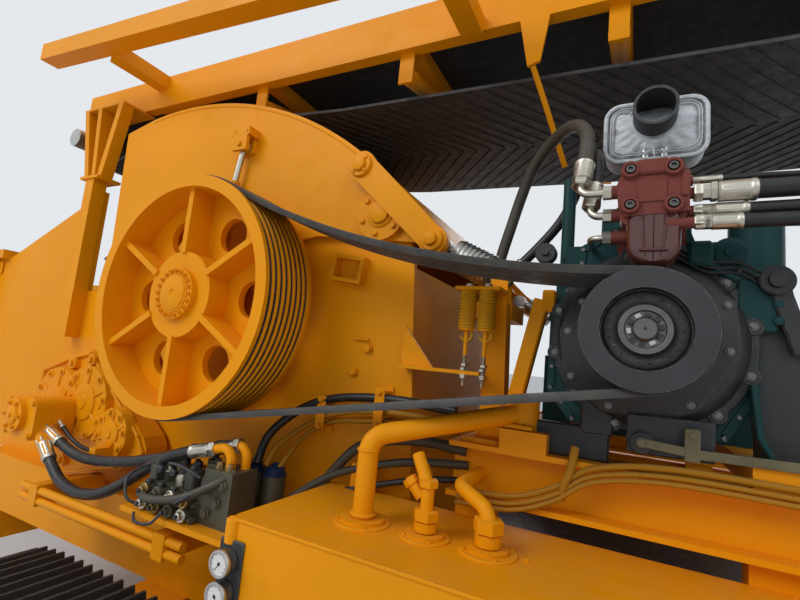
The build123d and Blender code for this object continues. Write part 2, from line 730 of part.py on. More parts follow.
# Infeed trough: side walls, floor under the chain and the cross ties
with BuildPart() as infeed_trough:
    for side in sides:
        outer = infeed_inner_y + infeed_wall if side > 0 else -infeed_inner_y
        with BuildSketch(xz_plane(outer)):
            with BuildLine():
                Polyline((infeed_left_x, infeed_bottom_z), (mill_left_x, infeed_bottom_z),
                         (mill_left_x, 1900), (infeed_peak_x, 1900),
                         (infeed_peak_x, infeed_peak_z), (infeed_rise_x, infeed_wall_top_z),
                         (infeed_left_x, infeed_wall_top_z), close=True)
            make_face()
            with Locations((chain_shaft_x, chain_shaft_z), (infeed_tail_x, chain_shaft_z)):
                Circle(40 + seat_gap, mode=Mode.SUBTRACT)
        extrude(amount=infeed_wall)
    with BuildSketch(xz_plane(infeed_inner_y)):
        with Locations(((infeed_tail_x + chain_shaft_x) / 2, chain_shaft_z)):
            Rectangle(chain_shaft_x - infeed_tail_x - 400, 60)
    extrude(amount=2 * infeed_inner_y)
    for side in sides:
        for rib_x in range(-5300, -2800, 600):
            with BuildSketch(Plane.XY.offset(infeed_bottom_z)):
                with Locations((rib_x, side * (infeed_inner_y + infeed_wall + 30))):
                    Rectangle(60, 60)
            extrude(amount=infeed_wall_top_z - infeed_bottom_z)
        with BuildSketch(xz_plane(side * (infeed_inner_y + infeed_wall / 2 + 15) + 45)):
            with Locations(((infeed_left_x + infeed_rise_x) / 2, infeed_wall_top_z + 30)):
                Rectangle(infeed_rise_x - infeed_left_x, 60)
        extrude(amount=90)
infeed_trough.part.label = "infeed_trough"
export_step(infeed_trough.part, "parts/infeed_trough.step")

# Infeed chain: one loop over both shafts with raised slats
chain_radius = chain_top_z - chain_shaft_z
slat_pitch = 260
with BuildPart() as infeed_chain:
    with BuildSketch(xz_plane(infeed_inner_y - 20)):
        with Locations(((infeed_tail_x + chain_shaft_x) / 2, chain_shaft_z)):
            SlotCenterToCenter(chain_shaft_x - infeed_tail_x, 2 * chain_radius)
            SlotCenterToCenter(chain_shaft_x - infeed_tail_x, 2 * (chain_radius - 20), mode=Mode.SUBTRACT)
        slat_count = int((chain_shaft_x - infeed_tail_x - 100) / slat_pitch)
        for slat in range(slat_count):
            slat_x = infeed_tail_x + 100 + slat * slat_pitch
            with Locations((slat_x, chain_top_z + 15), (slat_x, 2 * chain_shaft_z - chain_top_z - 15)):
                Rectangle(40, 32)
    extrude(amount=2 * infeed_inner_y - 40)
infeed_chain.part.label = "infeed_chain"
export_step(infeed_chain.part, "parts/infeed_chain.step")

with BuildPart() as infeed_shafts:
    for shaft_x in (chain_shaft_x, infeed_tail_x):
        with BuildSketch(xz_plane(infeed_inner_y - 20)):
            with Locations((shaft_x, chain_shaft_z)):
                Circle(chain_radius - 20)
        extrude(amount=2 * infeed_inner_y - 40)
        with BuildSketch(xz_plane(infeed_inner_y + 50)):
            with Locations((shaft_x, chain_shaft_z)):
                Circle(40)
        extrude(amount=2 * infeed_inner_y + 100)
infeed_shafts.part.label = "infeed_shafts"
export_step(infeed_shafts.part, "parts/infeed_shafts.step")

# Lower frame of the infeed: two channels with cross ties, carried on the main rails
with BuildPart() as infeed_frame:
    for side in sides:
        with BuildSketch(Plane.XY.offset(rail_top_z)):
            with Locations(((infeed_left_x + 200 + mill_left_x) / 2, side * (infeed_inner_y - 10))):
                Rectangle(mill_left_x - infeed_left_x - 200, 80)
        extrude(amount=infeed_bottom_z - rail_top_z)
    with BuildSketch(Plane.XY.offset(rail_top_z)):
        for tie in range(4):
            with Locations((infeed_left_x + 300 + tie * 1200, 0)):
                Rectangle(120, 2 * (infeed_inner_y - 50))
    extrude(amount=150)
infeed_frame.part.label = "infeed_frame"
export_step(infeed_frame.part, "parts/infeed_frame.step")

# Posts on the infeed walls, with the flange plates under the folded conveyor
post_x = -1778
post_foot_z = 1620
post_top_z = 2572
cradle_top_z = 3050
with BuildPart() as infeed_posts:
    for side in sides:
        with BuildSketch(Plane.XY.offset(post_foot_z)):
            with Locations((post_x, side * (infeed_inner_y + infeed_wall + 40))):
                Rectangle(80, 80)
        extrude(amount=post_top_z - post_foot_z)
        with BuildSketch(Plane.XY.offset(post_top_z)):
            with Locations((post_x, side * (infeed_inner_y + infeed_wall + 20))):
                Rectangle(180, 140)
        extrude(amount=16)
        with BuildSketch(xz_plane(side * (infeed_inner_y + infeed_wall + 35) + 35)):
            for foot_left, foot_right, head_left, head_right in (
                (-1862, -1822, -1985, -1945), (-1792, -1756, -1845, -1809), (-1736, -1692, -1640, -1596),
            ):
                Polygon((foot_left, post_top_z + 16), (foot_right, post_top_z + 16),
                        (head_right, cradle_top_z - 12), (head_left, cradle_top_z - 12), align=None)
        extrude(amount=70)
        with BuildSketch(Plane.XY.offset(cradle_top_z - 12)):
            with Locations((-1790, side * 700)):
                Rectangle(400, 200)
        extrude(amount=12)
infeed_posts.part.label = "infeed_posts"
export_step(infeed_posts.part, "parts/infeed_posts.step")

# Main frame: two rails on cross members that reach out to the track frames
with BuildPart() as main_frame:
    for side in sides:
        with BuildSketch(Plane.XY.offset(rail_bottom_z)):
            with Locations(((rail_left_x + rail_right_x) / 2, side * (rail_inner_y + rail_outer_y) / 2)):
                Rectangle(rail_right_x - rail_left_x, rail_outer_y - rail_inner_y)
        extrude(amount=rail_top_z - rail_bottom_z)
    for member_x in member_xs:
        with BuildSketch(Plane.XY.offset(member_bottom_z)):
            with Locations((member_x, 0)):
                Rectangle(member_width, 2 * rail_outer_y)
        extrude(amount=member_depth)
    for axle_x in axle_xs:
        with BuildSketch(Plane.XY.offset(member_bottom_z)):
            with Locations((axle_x, 0)):
                Rectangle(member_width + 60, 2 * (half_width - shoe_width + 40))
        extrude(amount=member_depth)
    for side in sides:
        for end_x, outward in ((rail_left_x, -1), (rail_right_x, 1)):
            eye_x = end_x + outward * eye_reach
            with BuildSketch(xz_plane(side * (rail_inner_y + rail_outer_y) / 2 + eye_thickness / 2)):
                with Locations(((end_x + eye_x) / 2, eye_z)):
                    Rectangle(eye_reach, 2 * eye_radius)
                with Locations((eye_x, eye_z)):
                    Circle(eye_radius)
                    Circle(eye_bore_radius, mode=Mode.SUBTRACT)
            extrude(amount=eye_thickness)
main_frame.part.label = "main_frame"
export_step(main_frame.part, "parts/main_frame.step")

# Track frames with rollers, sprocket and idler inside each loop
idler_radius = track_height / 2 - grouser_height - shoe_plate - link_depth
loop_radius = track_height / 2
idler_x = track_left_x + loop_radius
sprocket_x = track_left_x + track_length - loop_radius
frame_inner_y = half_width - shoe_width + 40
frame_outer_y = half_width - 60
cheek = 25
sprocket_teeth = 21
roller_radius = 62
roller_count = 7
roller_z = track_height - 2 * loop_radius + grouser_height + shoe_plate + link_depth + roller_radius
with BuildPart() as track_frames:
    for side in sides:
        middle_y = side * (frame_inner_y + frame_outer_y) / 2
        with BuildSketch(Plane.XY.offset(250)):
            with Locations(((idler_x + sprocket_x) / 2, middle_y)):
                Rectangle(sprocket_x - idler_x - 2 * idler_radius - 60, frame_outer_y - frame_inner_y)
        extrude(amount=330)
        for cheek_y in (frame_inner_y + cheek / 2, frame_outer_y - cheek / 2):
            with BuildSketch(xz_plane(side * cheek_y + cheek / 2)):
                with Locations(((idler_x + sprocket_x) / 2, loop_radius)):
                    Rectangle(sprocket_x - idler_x + 140, 150)
                with Locations((idler_x, loop_radius), (sprocket_x, loop_radius)):
                    Circle(50 + seat_gap, mode=Mode.SUBTRACT)
                with Locations(((idler_x + sprocket_x) / 2, (roller_z - 25 + 260) / 2)):
                    with GridLocations(330, 10, roller_count, 1):
                        Rectangle(90, 260 - roller_z + 25)
                with Locations(((idler_x + sprocket_x) / 2, roller_z)):
                    with GridLocations(330, 10, roller_count, 1):
                        Circle(20 + seat_gap, mode=Mode.SUBTRACT)
            extrude(amount=cheek)
track_frames.part.label = "track_frames"
export_step(track_frames.part, "parts/track_frames.step")

with BuildPart() as track_wheels:
    for side in sides:
        outer_y = max(side * frame_inner_y, side * frame_outer_y)
        length = frame_outer_y - frame_inner_y
        for wheel_x, notch_count in ((idler_x, 0), (sprocket_x, sprocket_teeth)):
            with BuildSketch(xz_plane(outer_y - cheek - 10)):
                with Locations((wheel_x, loop_radius)):
                    Circle(idler_radius - seat_gap)
                    if notch_count:
                        with PolarLocations(idler_radius, notch_count):
                            Circle(17, mode=Mode.SUBTRACT)
            extrude(amount=length - 2 * cheek - 20)
            with BuildSketch(xz_plane(outer_y + 10)):
                with Locations((wheel_x, loop_radius)):
                    Circle(50)
            extrude(amount=length + 20)
        with BuildSketch(xz_plane(outer_y - cheek - 10)):
            with Locations(((idler_x + sprocket_x) / 2, roller_z)):
                with GridLocations(330, 10, roller_count, 1):
                    Circle(roller_radius - seat_gap)
        extrude(amount=length - 2 * cheek - 20)
        with BuildSketch(xz_plane(outer_y)):
            with Locations(((idler_x + sprocket_x) / 2, roller_z)):
                with GridLocations(330, 10, roller_count, 1):
                    Circle(20)
        extrude(amount=length)
track_wheels.part.label = "track_wheels"
export_step(track_wheels.part, "parts/track_wheels.step")

# Track loops: the shoes with their grousers are in the outline of one closed band
plate_radius = loop_radius - grouser_height
straight = sprocket_x - idler_x
loop_length = 2 * straight + 2 * pi * plate_radius
shoe_pitch = loop_length / shoe_count


def loop_point(distance):
    """Point on the outer face of the shoe plates, measured along the loop from the lower left."""
    distance %= loop_length
    if distance < straight:
        return Vector(idler_x + distance, loop_radius - plate_radius)
    distance -= straight
    if distance < pi * plate_radius:
        turn = distance / plate_radius
        return Vector(sprocket_x + plate_radius * sin(turn), loop_radius - plate_radius * cos(turn))
    distance -= pi * plate_radius
    if distance < straight:
        return Vector(sprocket_x - distance, loop_radius + plate_radius)
    turn = (distance - straight) / plate_radius
    return Vector(idler_x - plate_radius * sin(turn), loop_radius + plate_radius * cos(turn))


shoe_outline = []
for shoe in range(shoe_count):
    start = loop_point(shoe * shoe_pitch)
    end = loop_point((shoe + 0.97) * shoe_pitch)
    along = (end - start).normalized()
    outward = Vector(along.Y, -along.X)
    shoe_outline.append(start)
    for grouser in range(grousers_per_shoe):
        middle = start + along * (grouser + 0.5) * (end - start).length / grousers_per_shoe
        shoe_outline += [
            middle - along * 11,
            middle - along * 6 + outward * grouser_height,
            middle + along * 6 + outward * grouser_height,
            middle + along * 11,
        ]
    shoe_outline.append(end)

with BuildPart() as track_near:
    with BuildSketch(xz_plane(-half_width + shoe_width)):
        with BuildLine():
            Polyline(*[(point.X, point.Y) for point in shoe_outline], close=True)
        make_face()
        with Locations(((idler_x + sprocket_x) / 2, loop_radius)):
            SlotCenterToCenter(straight, 2 * idler_radius, mode=Mode.SUBTRACT)
    extrude(amount=shoe_width)
track_near.part.label = "track_near"
export_step(track_near.part, "parts/track_near.step")

with BuildPart() as track_far:
    add(mirror(track_near.part, about=Plane.XZ))
track_far.part.label = "track_far"
export_step(track_far.part, "parts/track_far.step")

# Lower discharge conveyor: level under the mill, then rising to the fold hinge
rise = radians(incline_deg)
along_x, along_z = cos(rise), sin(rise)
kink_shift = tan(rise / 2)


def incline_point(back, below):
    """Point of the rising part, measured back from the hinge and below the hinge line."""
    return (hinge_x - back * along_x + below * along_z, hinge_z - back * along_z - below * along_x)


def kink_point(below):
    """Corner between the level and the rising part at a depth below the hinge line."""
    line_x = hinge_x - (hinge_z - belly_z) / tan(rise)
    return (line_x + below * kink_shift, belly_z - below)


with BuildPart() as lower_conveyor:
    for side in sides:
        outer = beam_outer_y if side > 0 else -beam_outer_y + beam_width
        with BuildSketch(xz_plane(outer)):
            with BuildLine():
                Polyline((belly_left_x, belly_z - beam_gap), kink_point(beam_gap),
                         incline_point(beam_end_inset, beam_gap),
                         incline_point(beam_end_inset, beam_gap + beam_depth),
                         kink_point(beam_gap + beam_depth),
                         (belly_left_x, belly_z - beam_gap - beam_depth), close=True)
            make_face()
        extrude(amount=beam_width)
        ear_face = beam_outer_y + ear_thickness if side > 0 else -beam_outer_y
        with BuildSketch(xz_plane(ear_face)):
            with Locations((hinge_x, hinge_z)):
                Circle(ear_radius)
            with BuildLine():
                Polyline(incline_point(0, -ear_radius + 5), incline_point(0, ear_radius - 5),
                         incline_point(beam_end_inset + 20, beam_gap + 120),
                         incline_point(450, beam_gap + 120), incline_point(450, beam_gap),
                         incline_point(80, -ear_radius + 40), close=True)
            make_face()
        extrude(amount=ear_thickness)
        pin_face = beam_outer_y if side > 0 else -beam_outer_y + beam_width + ear_thickness
        with BuildSketch(xz_plane(pin_face)):
            with Locations((hinge_x, hinge_z)):
                Circle(pin_radius)
        extrude(amount=beam_width + ear_thickness)
    with BuildSketch(xz_plane(beam_outer_y - beam_width)):
        for step in range(5):
            with Locations((belly_left_x + 80 + step * 780, belly_z - beam_gap - beam_depth + 36)):
                Rectangle(70, 60)
            with Locations(incline_point(300 + step * 700, beam_gap + beam_depth - 36)):
                Rectangle(70, 60, rotation=incline_deg)
    extrude(amount=2 * (beam_outer_y - beam_width))
lower_conveyor.part.label = "lower_conveyor"
export_step(lower_conveyor.part, "parts/lower_conveyor.step")

# Lower belt: carrying run above the beams' top edge, return run between the beams
tail_x = belly_left_x + 120
tail_z = belly_z - beam_gap - 20
with BuildPart() as lower_belt:
    with BuildSketch(xz_plane(belt_half_width)):
        for inset in (0, belt_thickness):
            reach = drum_radius_belt + belt_thickness - inset
            centre_below = belly_z - tail_z
            head = incline_point(drum_inset, centre_below)
            with BuildLine():
                Polyline((tail_x, tail_z + reach), kink_point(centre_below - reach),
                         incline_point(drum_inset, centre_below - reach))
                Polyline((tail_x, tail_z - reach), kink_point(centre_below + reach),
                         incline_point(drum_inset, centre_below + reach))
                ThreePointArc((tail_x, tail_z + reach), (tail_x - reach, tail_z),
                              (tail_x, tail_z - reach))
                ThreePointArc(incline_point(drum_inset, centre_below - reach),
                              incline_point(drum_inset - reach, centre_below),
                              incline_point(drum_inset, centre_below + reach))
            make_face(mode=Mode.ADD if inset == 0 else Mode.SUBTRACT)
    extrude(amount=2 * belt_half_width)
lower_belt.part.label = "lower_belt"
export_step(lower_belt.part, "parts/lower_belt.step")

with BuildPart() as lower_drums:
    for place in ((tail_x, tail_z), head):
        with BuildSketch(xz_plane(belt_half_width)):
            with Locations(place):
                Circle(drum_radius_belt - seat_gap)
        extrude(amount=2 * belt_half_width)
        with BuildSketch(xz_plane(beam_outer_y - beam_width - seat_gap)):
            with Locations(place):
                Circle(30)
        extrude(amount=2 * (beam_outer_y - beam_width - seat_gap))
lower_drums.part.label = "lower_drums"
export_step(lower_drums.part, "parts/lower_drums.step")

# Outer discharge conveyor, folded back over the machine: u runs from the hinge to the left
fold = radians(fold_slope_deg)
boom_side = Plane(origin=(hinge_x, 0, hinge_z), x_dir=(-cos(fold), 0, sin(fold)), z_dir=(0, 1, 0))


def boom_plane(y):
    """Sketch plane of the folded boom facing +Y: x runs from the hinge, y is square to it."""
    return boom_side.offset(y)


prop_rod = bent_tube(((785, -652, 2868), (825, -560, 2750), (895, -395, 2530)), 60, 11)
with BuildPart() as boom_frame:
    for side in sides:
        start = beam_outer_y - beam_width if side > 0 else -beam_outer_y
        with BuildSketch(boom_plane(start)):
            with Locations(((beam_end_inset + boom_length) / 2, beam_gap + beam_depth / 2)):
                Rectangle(boom_length - beam_end_inset, beam_depth)
        extrude(amount=beam_width)
        ear_start = beam_outer_y - beam_width - ear_thickness if side > 0 else -beam_outer_y + beam_width
        with BuildSketch(boom_plane(ear_start)):
            Circle(ear_radius)
            with BuildLine():
                Polyline((0, ear_radius - 5), (beam_end_inset + 20, beam_gap + 100),
                         (320, beam_gap + 100), (320, beam_gap), (80, -ear_radius + 40),
                         (0, -ear_radius + 5), close=True)
            make_face()
            Circle(pin_radius + seat_gap, mode=Mode.SUBTRACT)
        extrude(amount=ear_thickness)
        plate_start = beam_outer_y - beam_width if side > 0 else -beam_outer_y + beam_width - 20
        with BuildSketch(boom_plane(plate_start)):
            Polygon((head_drum_u - 110, beam_gap), (head_drum_u - 90, head_v - 40),
                    (head_drum_u - 40, head_v - 80), (head_drum_u + 40, head_v - 80),
                    (head_drum_u + 110, head_v - 10), (head_drum_u + 120, beam_gap), align=None)
        extrude(amount=20)
    with BuildSketch(boom_plane(-beam_outer_y + beam_width)):
        for station in range(idler_count):
            with Locations((idler_first_u + station * idler_pitch, beam_gap + 60)):
                Rectangle(80, 60)
    extrude(amount=2 * (beam_outer_y - beam_width))
    with BuildSketch(boom_plane(-beam_outer_y)):
        Polygon((hinge_x - 735, beam_gap), (hinge_x - 850, beam_gap), (hinge_x - 822, -78),
                (hinge_x - 775, -92), align=None)
    extrude(amount=14)
    add(prop_rod)
boom_frame.part.label = "boom_frame"
export_step(boom_frame.part, "parts/boom_frame.step")

# Drums of the folded boom, with the hydraulic motor of the head drum on the near side
with BuildPart() as boom_drums:
    drum_places = ((drum_inset, 120, drum_radius_belt), (head_drum_u, head_v, head_drum_radius),
                   (snub_u, return_v - belt_thickness - 33, 30))
    for drum_u, drum_v, radius in drum_places:
        with BuildSketch(boom_plane(-belt_half_width)):
            with Locations((drum_u, drum_v)):
                Circle(radius - seat_gap)
        extrude(amount=2 * belt_half_width)
        with BuildSketch(boom_plane(-beam_outer_y + beam_width + seat_gap)):
            with Locations((drum_u, drum_v)):
                Circle(30)
        extrude(amount=2 * (beam_outer_y - beam_width - seat_gap))
    for motor_y, motor_depth, motor_radius in ((-beam_outer_y + beam_width - 20, 24, 82),
                                               (-beam_outer_y + beam_width - 44, 130, 58)):
        with BuildSketch(boom_plane(motor_y)):
            with Locations((head_drum_u, head_v)):
                Circle(motor_radius)
        extrude(amount=-motor_depth)
boom_drums.part.label = "boom_drums"
export_step(boom_drums.part, "parts/boom_drums.step")

# Idler stations: a level roller and, on the stations between the ends, two wing rollers that dip
# outwards on their brackets under the beams
roller_shell = 38
roller_v = 92
bracket_thickness = 12
station_us = [idler_first_u + station * idler_pitch for station in range(idler_count)]
station_bars = []
for station_u in station_us[1:-1]:
    for side in sides:
        low, high = [tuple(boom_side.from_local_coords((station_u, wing_v, side * wing_y)))
                     for wing_y, wing_v in ((600, 14), (264, roller_v))]
        station_bars.append(bar(low, high, roller_shell))
        station_bars.append(bar(beyond(low, high, 14), beyond(high, low, 14), 12))
with BuildPart() as boom_rollers:
    for station_bar in station_bars:
        add(station_bar)
    for half_length, radius in ((241, 12), (232, roller_shell)):
        with BuildSketch(boom_plane(-half_length)):
            with Locations([(station_u, roller_v) for station_u in station_us]):
                Circle(radius)
        extrude(amount=2 * half_length)
    bracket_rows = ((612, -30, beam_gap, station_us[1:-1]), (241, 60, beam_gap + 30, station_us))
    for side in sides:
        for plate_y, plate_low, plate_high, plate_us in bracket_rows:
            plate_start = plate_y if side > 0 else -plate_y - bracket_thickness
            with BuildSketch(boom_plane(plate_start)):
                with Locations([(station_u, (plate_low + plate_high) / 2) for station_u in plate_us]):
                    Rectangle(70, plate_high - plate_low)
            extrude(amount=bracket_thickness)
boom_rollers.part.label = "boom_rollers"
export_step(boom_rollers.part, "parts/boom_rollers.step")

# Belt of the folded boom: the carrying run faces down and hangs slack, the return run is flat
carry_v = 20
sag_v = -110
sag_rows = ((0.9, carry_v), (0.72, sag_v + 40), (0.47, sag_v), (0.13, sag_v + 60))
belt_reach = drum_radius_belt + belt_thickness
head_reach = head_drum_radius + belt_thickness
with BuildPart() as boom_belt:
    with BuildSketch(boom_plane(-belt_half_width)):
        for inset in (0, belt_thickness):
            tail_reach = belt_reach - inset
            top_reach = head_reach - inset
            with BuildLine():
                arrive = (head_drum_u + top_reach * sin(radians(19)), head_v + top_reach * cos(radians(19)))
                leave = (head_drum_u - top_reach * sin(radians(16)), head_v - top_reach * cos(radians(16)))
                Polyline((drum_inset, 120 + tail_reach), (snub_u, return_v - inset), arrive)
                ThreePointArc(arrive, (head_drum_u + top_reach, head_v), leave)
                slack_run = head_drum_u - drum_inset
                slack_points = [(drum_inset + share * slack_run, v + inset) for share, v in sag_rows]
                Polyline(leave, *slack_points, (drum_inset, 120 - tail_reach))
                ThreePointArc((drum_inset, 120 - tail_reach), (drum_inset - tail_reach, 120),
                              (drum_inset, 120 + tail_reach))
            make_face(mode=Mode.ADD if inset == 0 else Mode.SUBTRACT)
    extrude(amount=2 * belt_half_width)
boom_belt.part.label = "boom_belt"
export_step(boom_belt.part, "parts/boom_belt.step")

# Outboard guard rail of the boom on its cross arms
rail_y = 1010
rail_size = 100
with BuildPart() as boom_rail:
    for side in sides:
        rail_start = rail_y - rail_size / 2 if side > 0 else -rail_y - rail_size / 2
        with BuildSketch(boom_plane(rail_start)):
            with BuildLine():
                rail_left_u = boom_length - 170
                rail_right_u = rail_left_u - 3060
                Polyline((rail_left_u, 300), (rail_left_u, 400), (rail_right_u, 190),
                         (rail_right_u, 90), close=True)
            make_face()
        extrude(amount=rail_size)
        for arm_u, arm_v in ((rail_left_u - 600, 309), (rail_left_u - 2600, 170)):
            arm_start = beam_outer_y if side > 0 else -rail_y + rail_size / 2
            with BuildSketch(boom_plane(arm_start)):
                with Locations((arm_u, arm_v - 40)):
                    Rectangle(90, 80)
            extrude(amount=rail_y - rail_size / 2 - beam_outer_y)
boom_rail.part.label = "boom_rail"
export_step(boom_rail.part, "parts/boom_rail.step")

# Engine subframe: two beams with flanges on posts from the main rails, with the ties under the
# engine and the manifold of the pump's pressure hoses on its own post
post_width = rail_outer_y - rail_inner_y
tie_height = 60
manifold_x = 2120
manifold_bottom_z = 2050
with BuildPart() as engine_subframe:
    for side in sides:
        with BuildSketch(Plane(origin=(subframe_left_x, side * subframe_web_y, 0),
                               x_dir=(0, 1, 0), z_dir=(1, 0, 0))):
            with BuildLine():
                half = subframe_half_flange
                low, high = subframe_bottom_z, subframe_top_z
                Polyline((-half, low), (half, low), (half, low + 16), (8, low + 16), (8, high - 16),
                         (half, high - 16), (half, high), (-half, high), (-half, high - 16),
                         (-8, high - 16), (-8, low + 16), (-half, low + 16), close=True)
            make_face()
        extrude(amount=subframe_right_x - subframe_left_x)
        with BuildSketch(Plane.XY.offset(rail_top_z)):
            for leg_x in (730, 1500, 2260):
                with Locations((leg_x, side * (rail_inner_y + rail_outer_y) / 2)):
                    Rectangle(120, post_width)
        extrude(amount=subframe_bottom_z - rail_top_z)
    with BuildSketch(Plane.XY.offset(subframe_top_z)):
        for tie_x in (880, 1510):
            with Locations((tie_x, 0)):
                Rectangle(140, 2 * (subframe_web_y + subframe_half_flange))
    extrude(amount=tie_height)
    with BuildSketch(Plane.XY.offset(subframe_top_z)):
        with Locations((manifold_x, -subframe_web_y)):
            Rectangle(70, 70)
    extrude(amount=manifold_bottom_z - subframe_top_z)
    with BuildSketch(Plane.XY.offset(manifold_bottom_z)):
        with Locations((manifold_x, -880)):
            Rectangle(80, 250)
    extrude(amount=170)
engine_subframe.part.label = "engine_subframe"
export_step(engine_subframe.part, "parts/engine_subframe.step")

# Engine, transverse: sump, crankcase, head and valve cover, the gear housing on its near end, the
# feet on the two ties, a filter canister, a filler neck and the air cleaner's bowl
engine_bottom_z = subframe_top_z + tie_height
engine_near_y = -690
engine_far_y = 560
housing_front_y = engine_near_y - 90
block_top_z = 1985
head_top_z = 2230
cover_top_z = 2290
foot_z = 1700
with BuildPart() as engine_block:
    with BuildSketch(xz_plane(engine_far_y)):
        with BuildLine():
            Polyline((960, 1640), (1040, 1620), (1040, engine_bottom_z + 10), (1350, engine_bottom_z + 10),
                     (1350, 1620), (1430, 1640), (1430, block_top_z - 40), (1390, block_top_z),
                     (930, block_top_z), (930, 1760), (960, 1740), close=True)
        make_face()
    extrude(amount=engine_far_y - engine_near_y)
    with BuildSketch(xz_plane(engine_far_y - 40)):
        with Locations((engine_x, (block_top_z + head_top_z) / 2)):
            Rectangle(270, head_top_z - block_top_z)
    extrude(amount=engine_far_y - engine_near_y - 130)
    with BuildSketch(xz_plane(engine_far_y - 80)):
        with BuildLine():
            Polyline((1085, head_top_z), (1305, head_top_z), (1305, cover_top_z - 25),
                     (1270, cover_top_z), (1120, cover_top_z), (1085, cover_top_z - 25), close=True)
        make_face()
    extrude(amount=engine_far_y - engine_near_y - 210)
    with BuildSketch(xz_plane(engine_near_y)):
        with BuildLine():
            Polyline((1000, 1530), (1400, 1530), (1472, 1653), (1472, 1960), (1439, 2010), (1340, 2030),
                     (1300, 2140), (1110, 2140), (1012, 2080), (1004, 1990), (930, 1890), (930, 1620),
                     close=True)
        make_face()
        with Locations((engine_x, engine_z)):
            Circle(crank_radius + seat_gap, mode=Mode.SUBTRACT)
    extrude(amount=engine_near_y - housing_front_y)
    for foot_x, foot_width in ((910, 100), (1480, 100)):
        for foot_y in (-360, 360):
            with BuildSketch(Plane.XY.offset(engine_bottom_z)):
                with Locations((foot_x, foot_y)):
                    Rectangle(foot_width, 120)
            extrude(amount=foot_z - engine_bottom_z)
            with BuildSketch(Plane.XY.offset(foot_z)):
                with Locations(((foot_x + engine_x) / 2, foot_y)):
                    Rectangle(abs(engine_x - foot_x) + foot_width, 120)
            extrude(amount=40)
    with BuildSketch(Plane.XY.offset(block_top_z)):
        with Locations((953, -640)):
            Circle(22)
    extrude(amount=2365 - block_top_z)
    with BuildSketch(Plane.XY.offset(block_top_z - 60)):
        with Locations((1520, -480)):
            Circle(70)
        with Locations((1430, -480)):
            Rectangle(100, 90)
    extrude(amount=110)
    with BuildSketch(Plane.XY.offset(block_top_z + 50)):
        with Locations((1520, -480)):
            Circle(76)
    extrude(amount=200)
    with BuildSketch(xz_plane(engine_near_y + 150)):
        with Locations((1000, 2040)):
            Circle(50)
            Rectangle(60, 110)
    extrude(amount=190)
engine_block.part.label = "engine_block"
export_step(engine_block.part, "parts/engine_block.step")

# Clutch housing in front of the gear housing, and the arm of the engine mounting beside it
with BuildPart() as bell_housing:
    with BuildSketch(xz_plane(housing_front_y)):
        with Locations((engine_x, engine_z)):
            Circle(bell_radius)
            with PolarLocations(bell_radius - 10, 8, start_angle=22.5):
                Circle(32)
            Circle(crank_radius + seat_gap, mode=Mode.SUBTRACT)
    extrude(amount=30)
    with BuildSketch(xz_plane(housing_front_y - 30)):
        with Locations((engine_x, engine_z)):
            Circle(bell_radius - 35)
            Circle(crank_radius + seat_gap, mode=Mode.SUBTRACT)
    extrude(amount=25)
    with BuildSketch(xz_plane(engine_near_y)):
        with BuildLine():
            Polyline((1472, engine_bottom_z), (1560, engine_bottom_z), (1558, 1843), (1540, 1962),
                     (1505, 1989), (1472, 1950), close=True)
        make_face()
    extrude(amount=engine_near_y - housing_front_y)
bell_housing.part.label = "bell_housing"
export_step(bell_housing.part, "parts/bell_housing.step")

# Radiator with its shroud on the far side, and the fan on the engine's nose
fan_radius = 380
fan_y = 620
radiator_y = 780
radiator_height = 950
with BuildPart() as radiator:
    with BuildSketch(Plane.XY.offset(engine_bottom_z)):
        with Locations((engine_x, radiator_y + 70)):
            Rectangle(880, 120)
    extrude(amount=radiator_height)
    with BuildSketch(xz_plane(radiator_y + 10)):
        with Locations((engine_x, engine_z + 120)):
            Circle(fan_radius + 40)
            Circle(fan_radius + 20, mode=Mode.SUBTRACT)
    extrude(amount=130)
    with BuildSketch(Plane.XY.offset(engine_bottom_z)):
        for bracket_x in (880, 1510):
            with Locations((bracket_x, radiator_y - 20)):
                Rectangle(60, 60)
    extrude(amount=200)
radiator.part.label = "radiator"
export_step(radiator.part, "parts/radiator.step")

with BuildPart() as fan:
    with BuildSketch(xz_plane(fan_y + 60)):
        with Locations((engine_x, engine_z + 120)):
            Circle(90)
            with PolarLocations(fan_radius / 2, 7):
                Rectangle(fan_radius, 110)
    extrude(amount=30)
    with BuildSketch(xz_plane(fan_y + 30)):
        with Locations((engine_x, engine_z + 120)):
            Circle(40)
    extrude(amount=fan_y + 30 - engine_far_y - seat_gap)
fan.part.label = "fan"
export_step(fan.part, "parts/fan.step")

# Exhaust outlet with its quilted jacket above the engine
with BuildPart() as exhaust_pipe:
    with BuildSketch(xz_plane(-600)):
        with Locations((1212, 2500)):
            Circle(62)
            Circle(54, mode=Mode.SUBTRACT)
    extrude(amount=240)
    with BuildSketch(xz_plane(-480)):
        with Locations((1212, 2500)):
            Circle(70)
    extrude(amount=120)
    with BuildSketch(Plane.XY.offset(cover_top_z)):
        with Locations((1212, -480)):
            Rectangle(90, 90)
    extrude(amount=2450 - cover_top_z)
exhaust_pipe.part.label = "exhaust_pipe"
export_step(exhaust_pipe.part, "parts/exhaust_pipe.step")

with BuildPart() as heat_jacket:
    with BuildSketch(xz_plane(-610)):
        with Locations((1212, 2464)):
            RectangleRounded(303, 212, 40)
        with Locations((1212, 2500)):
            Circle(62 + seat_gap, mode=Mode.SUBTRACT)
    extrude(amount=150)
heat_jacket.part.label = "heat_jacket"
export_step(heat_jacket.part, "parts/heat_jacket.step")

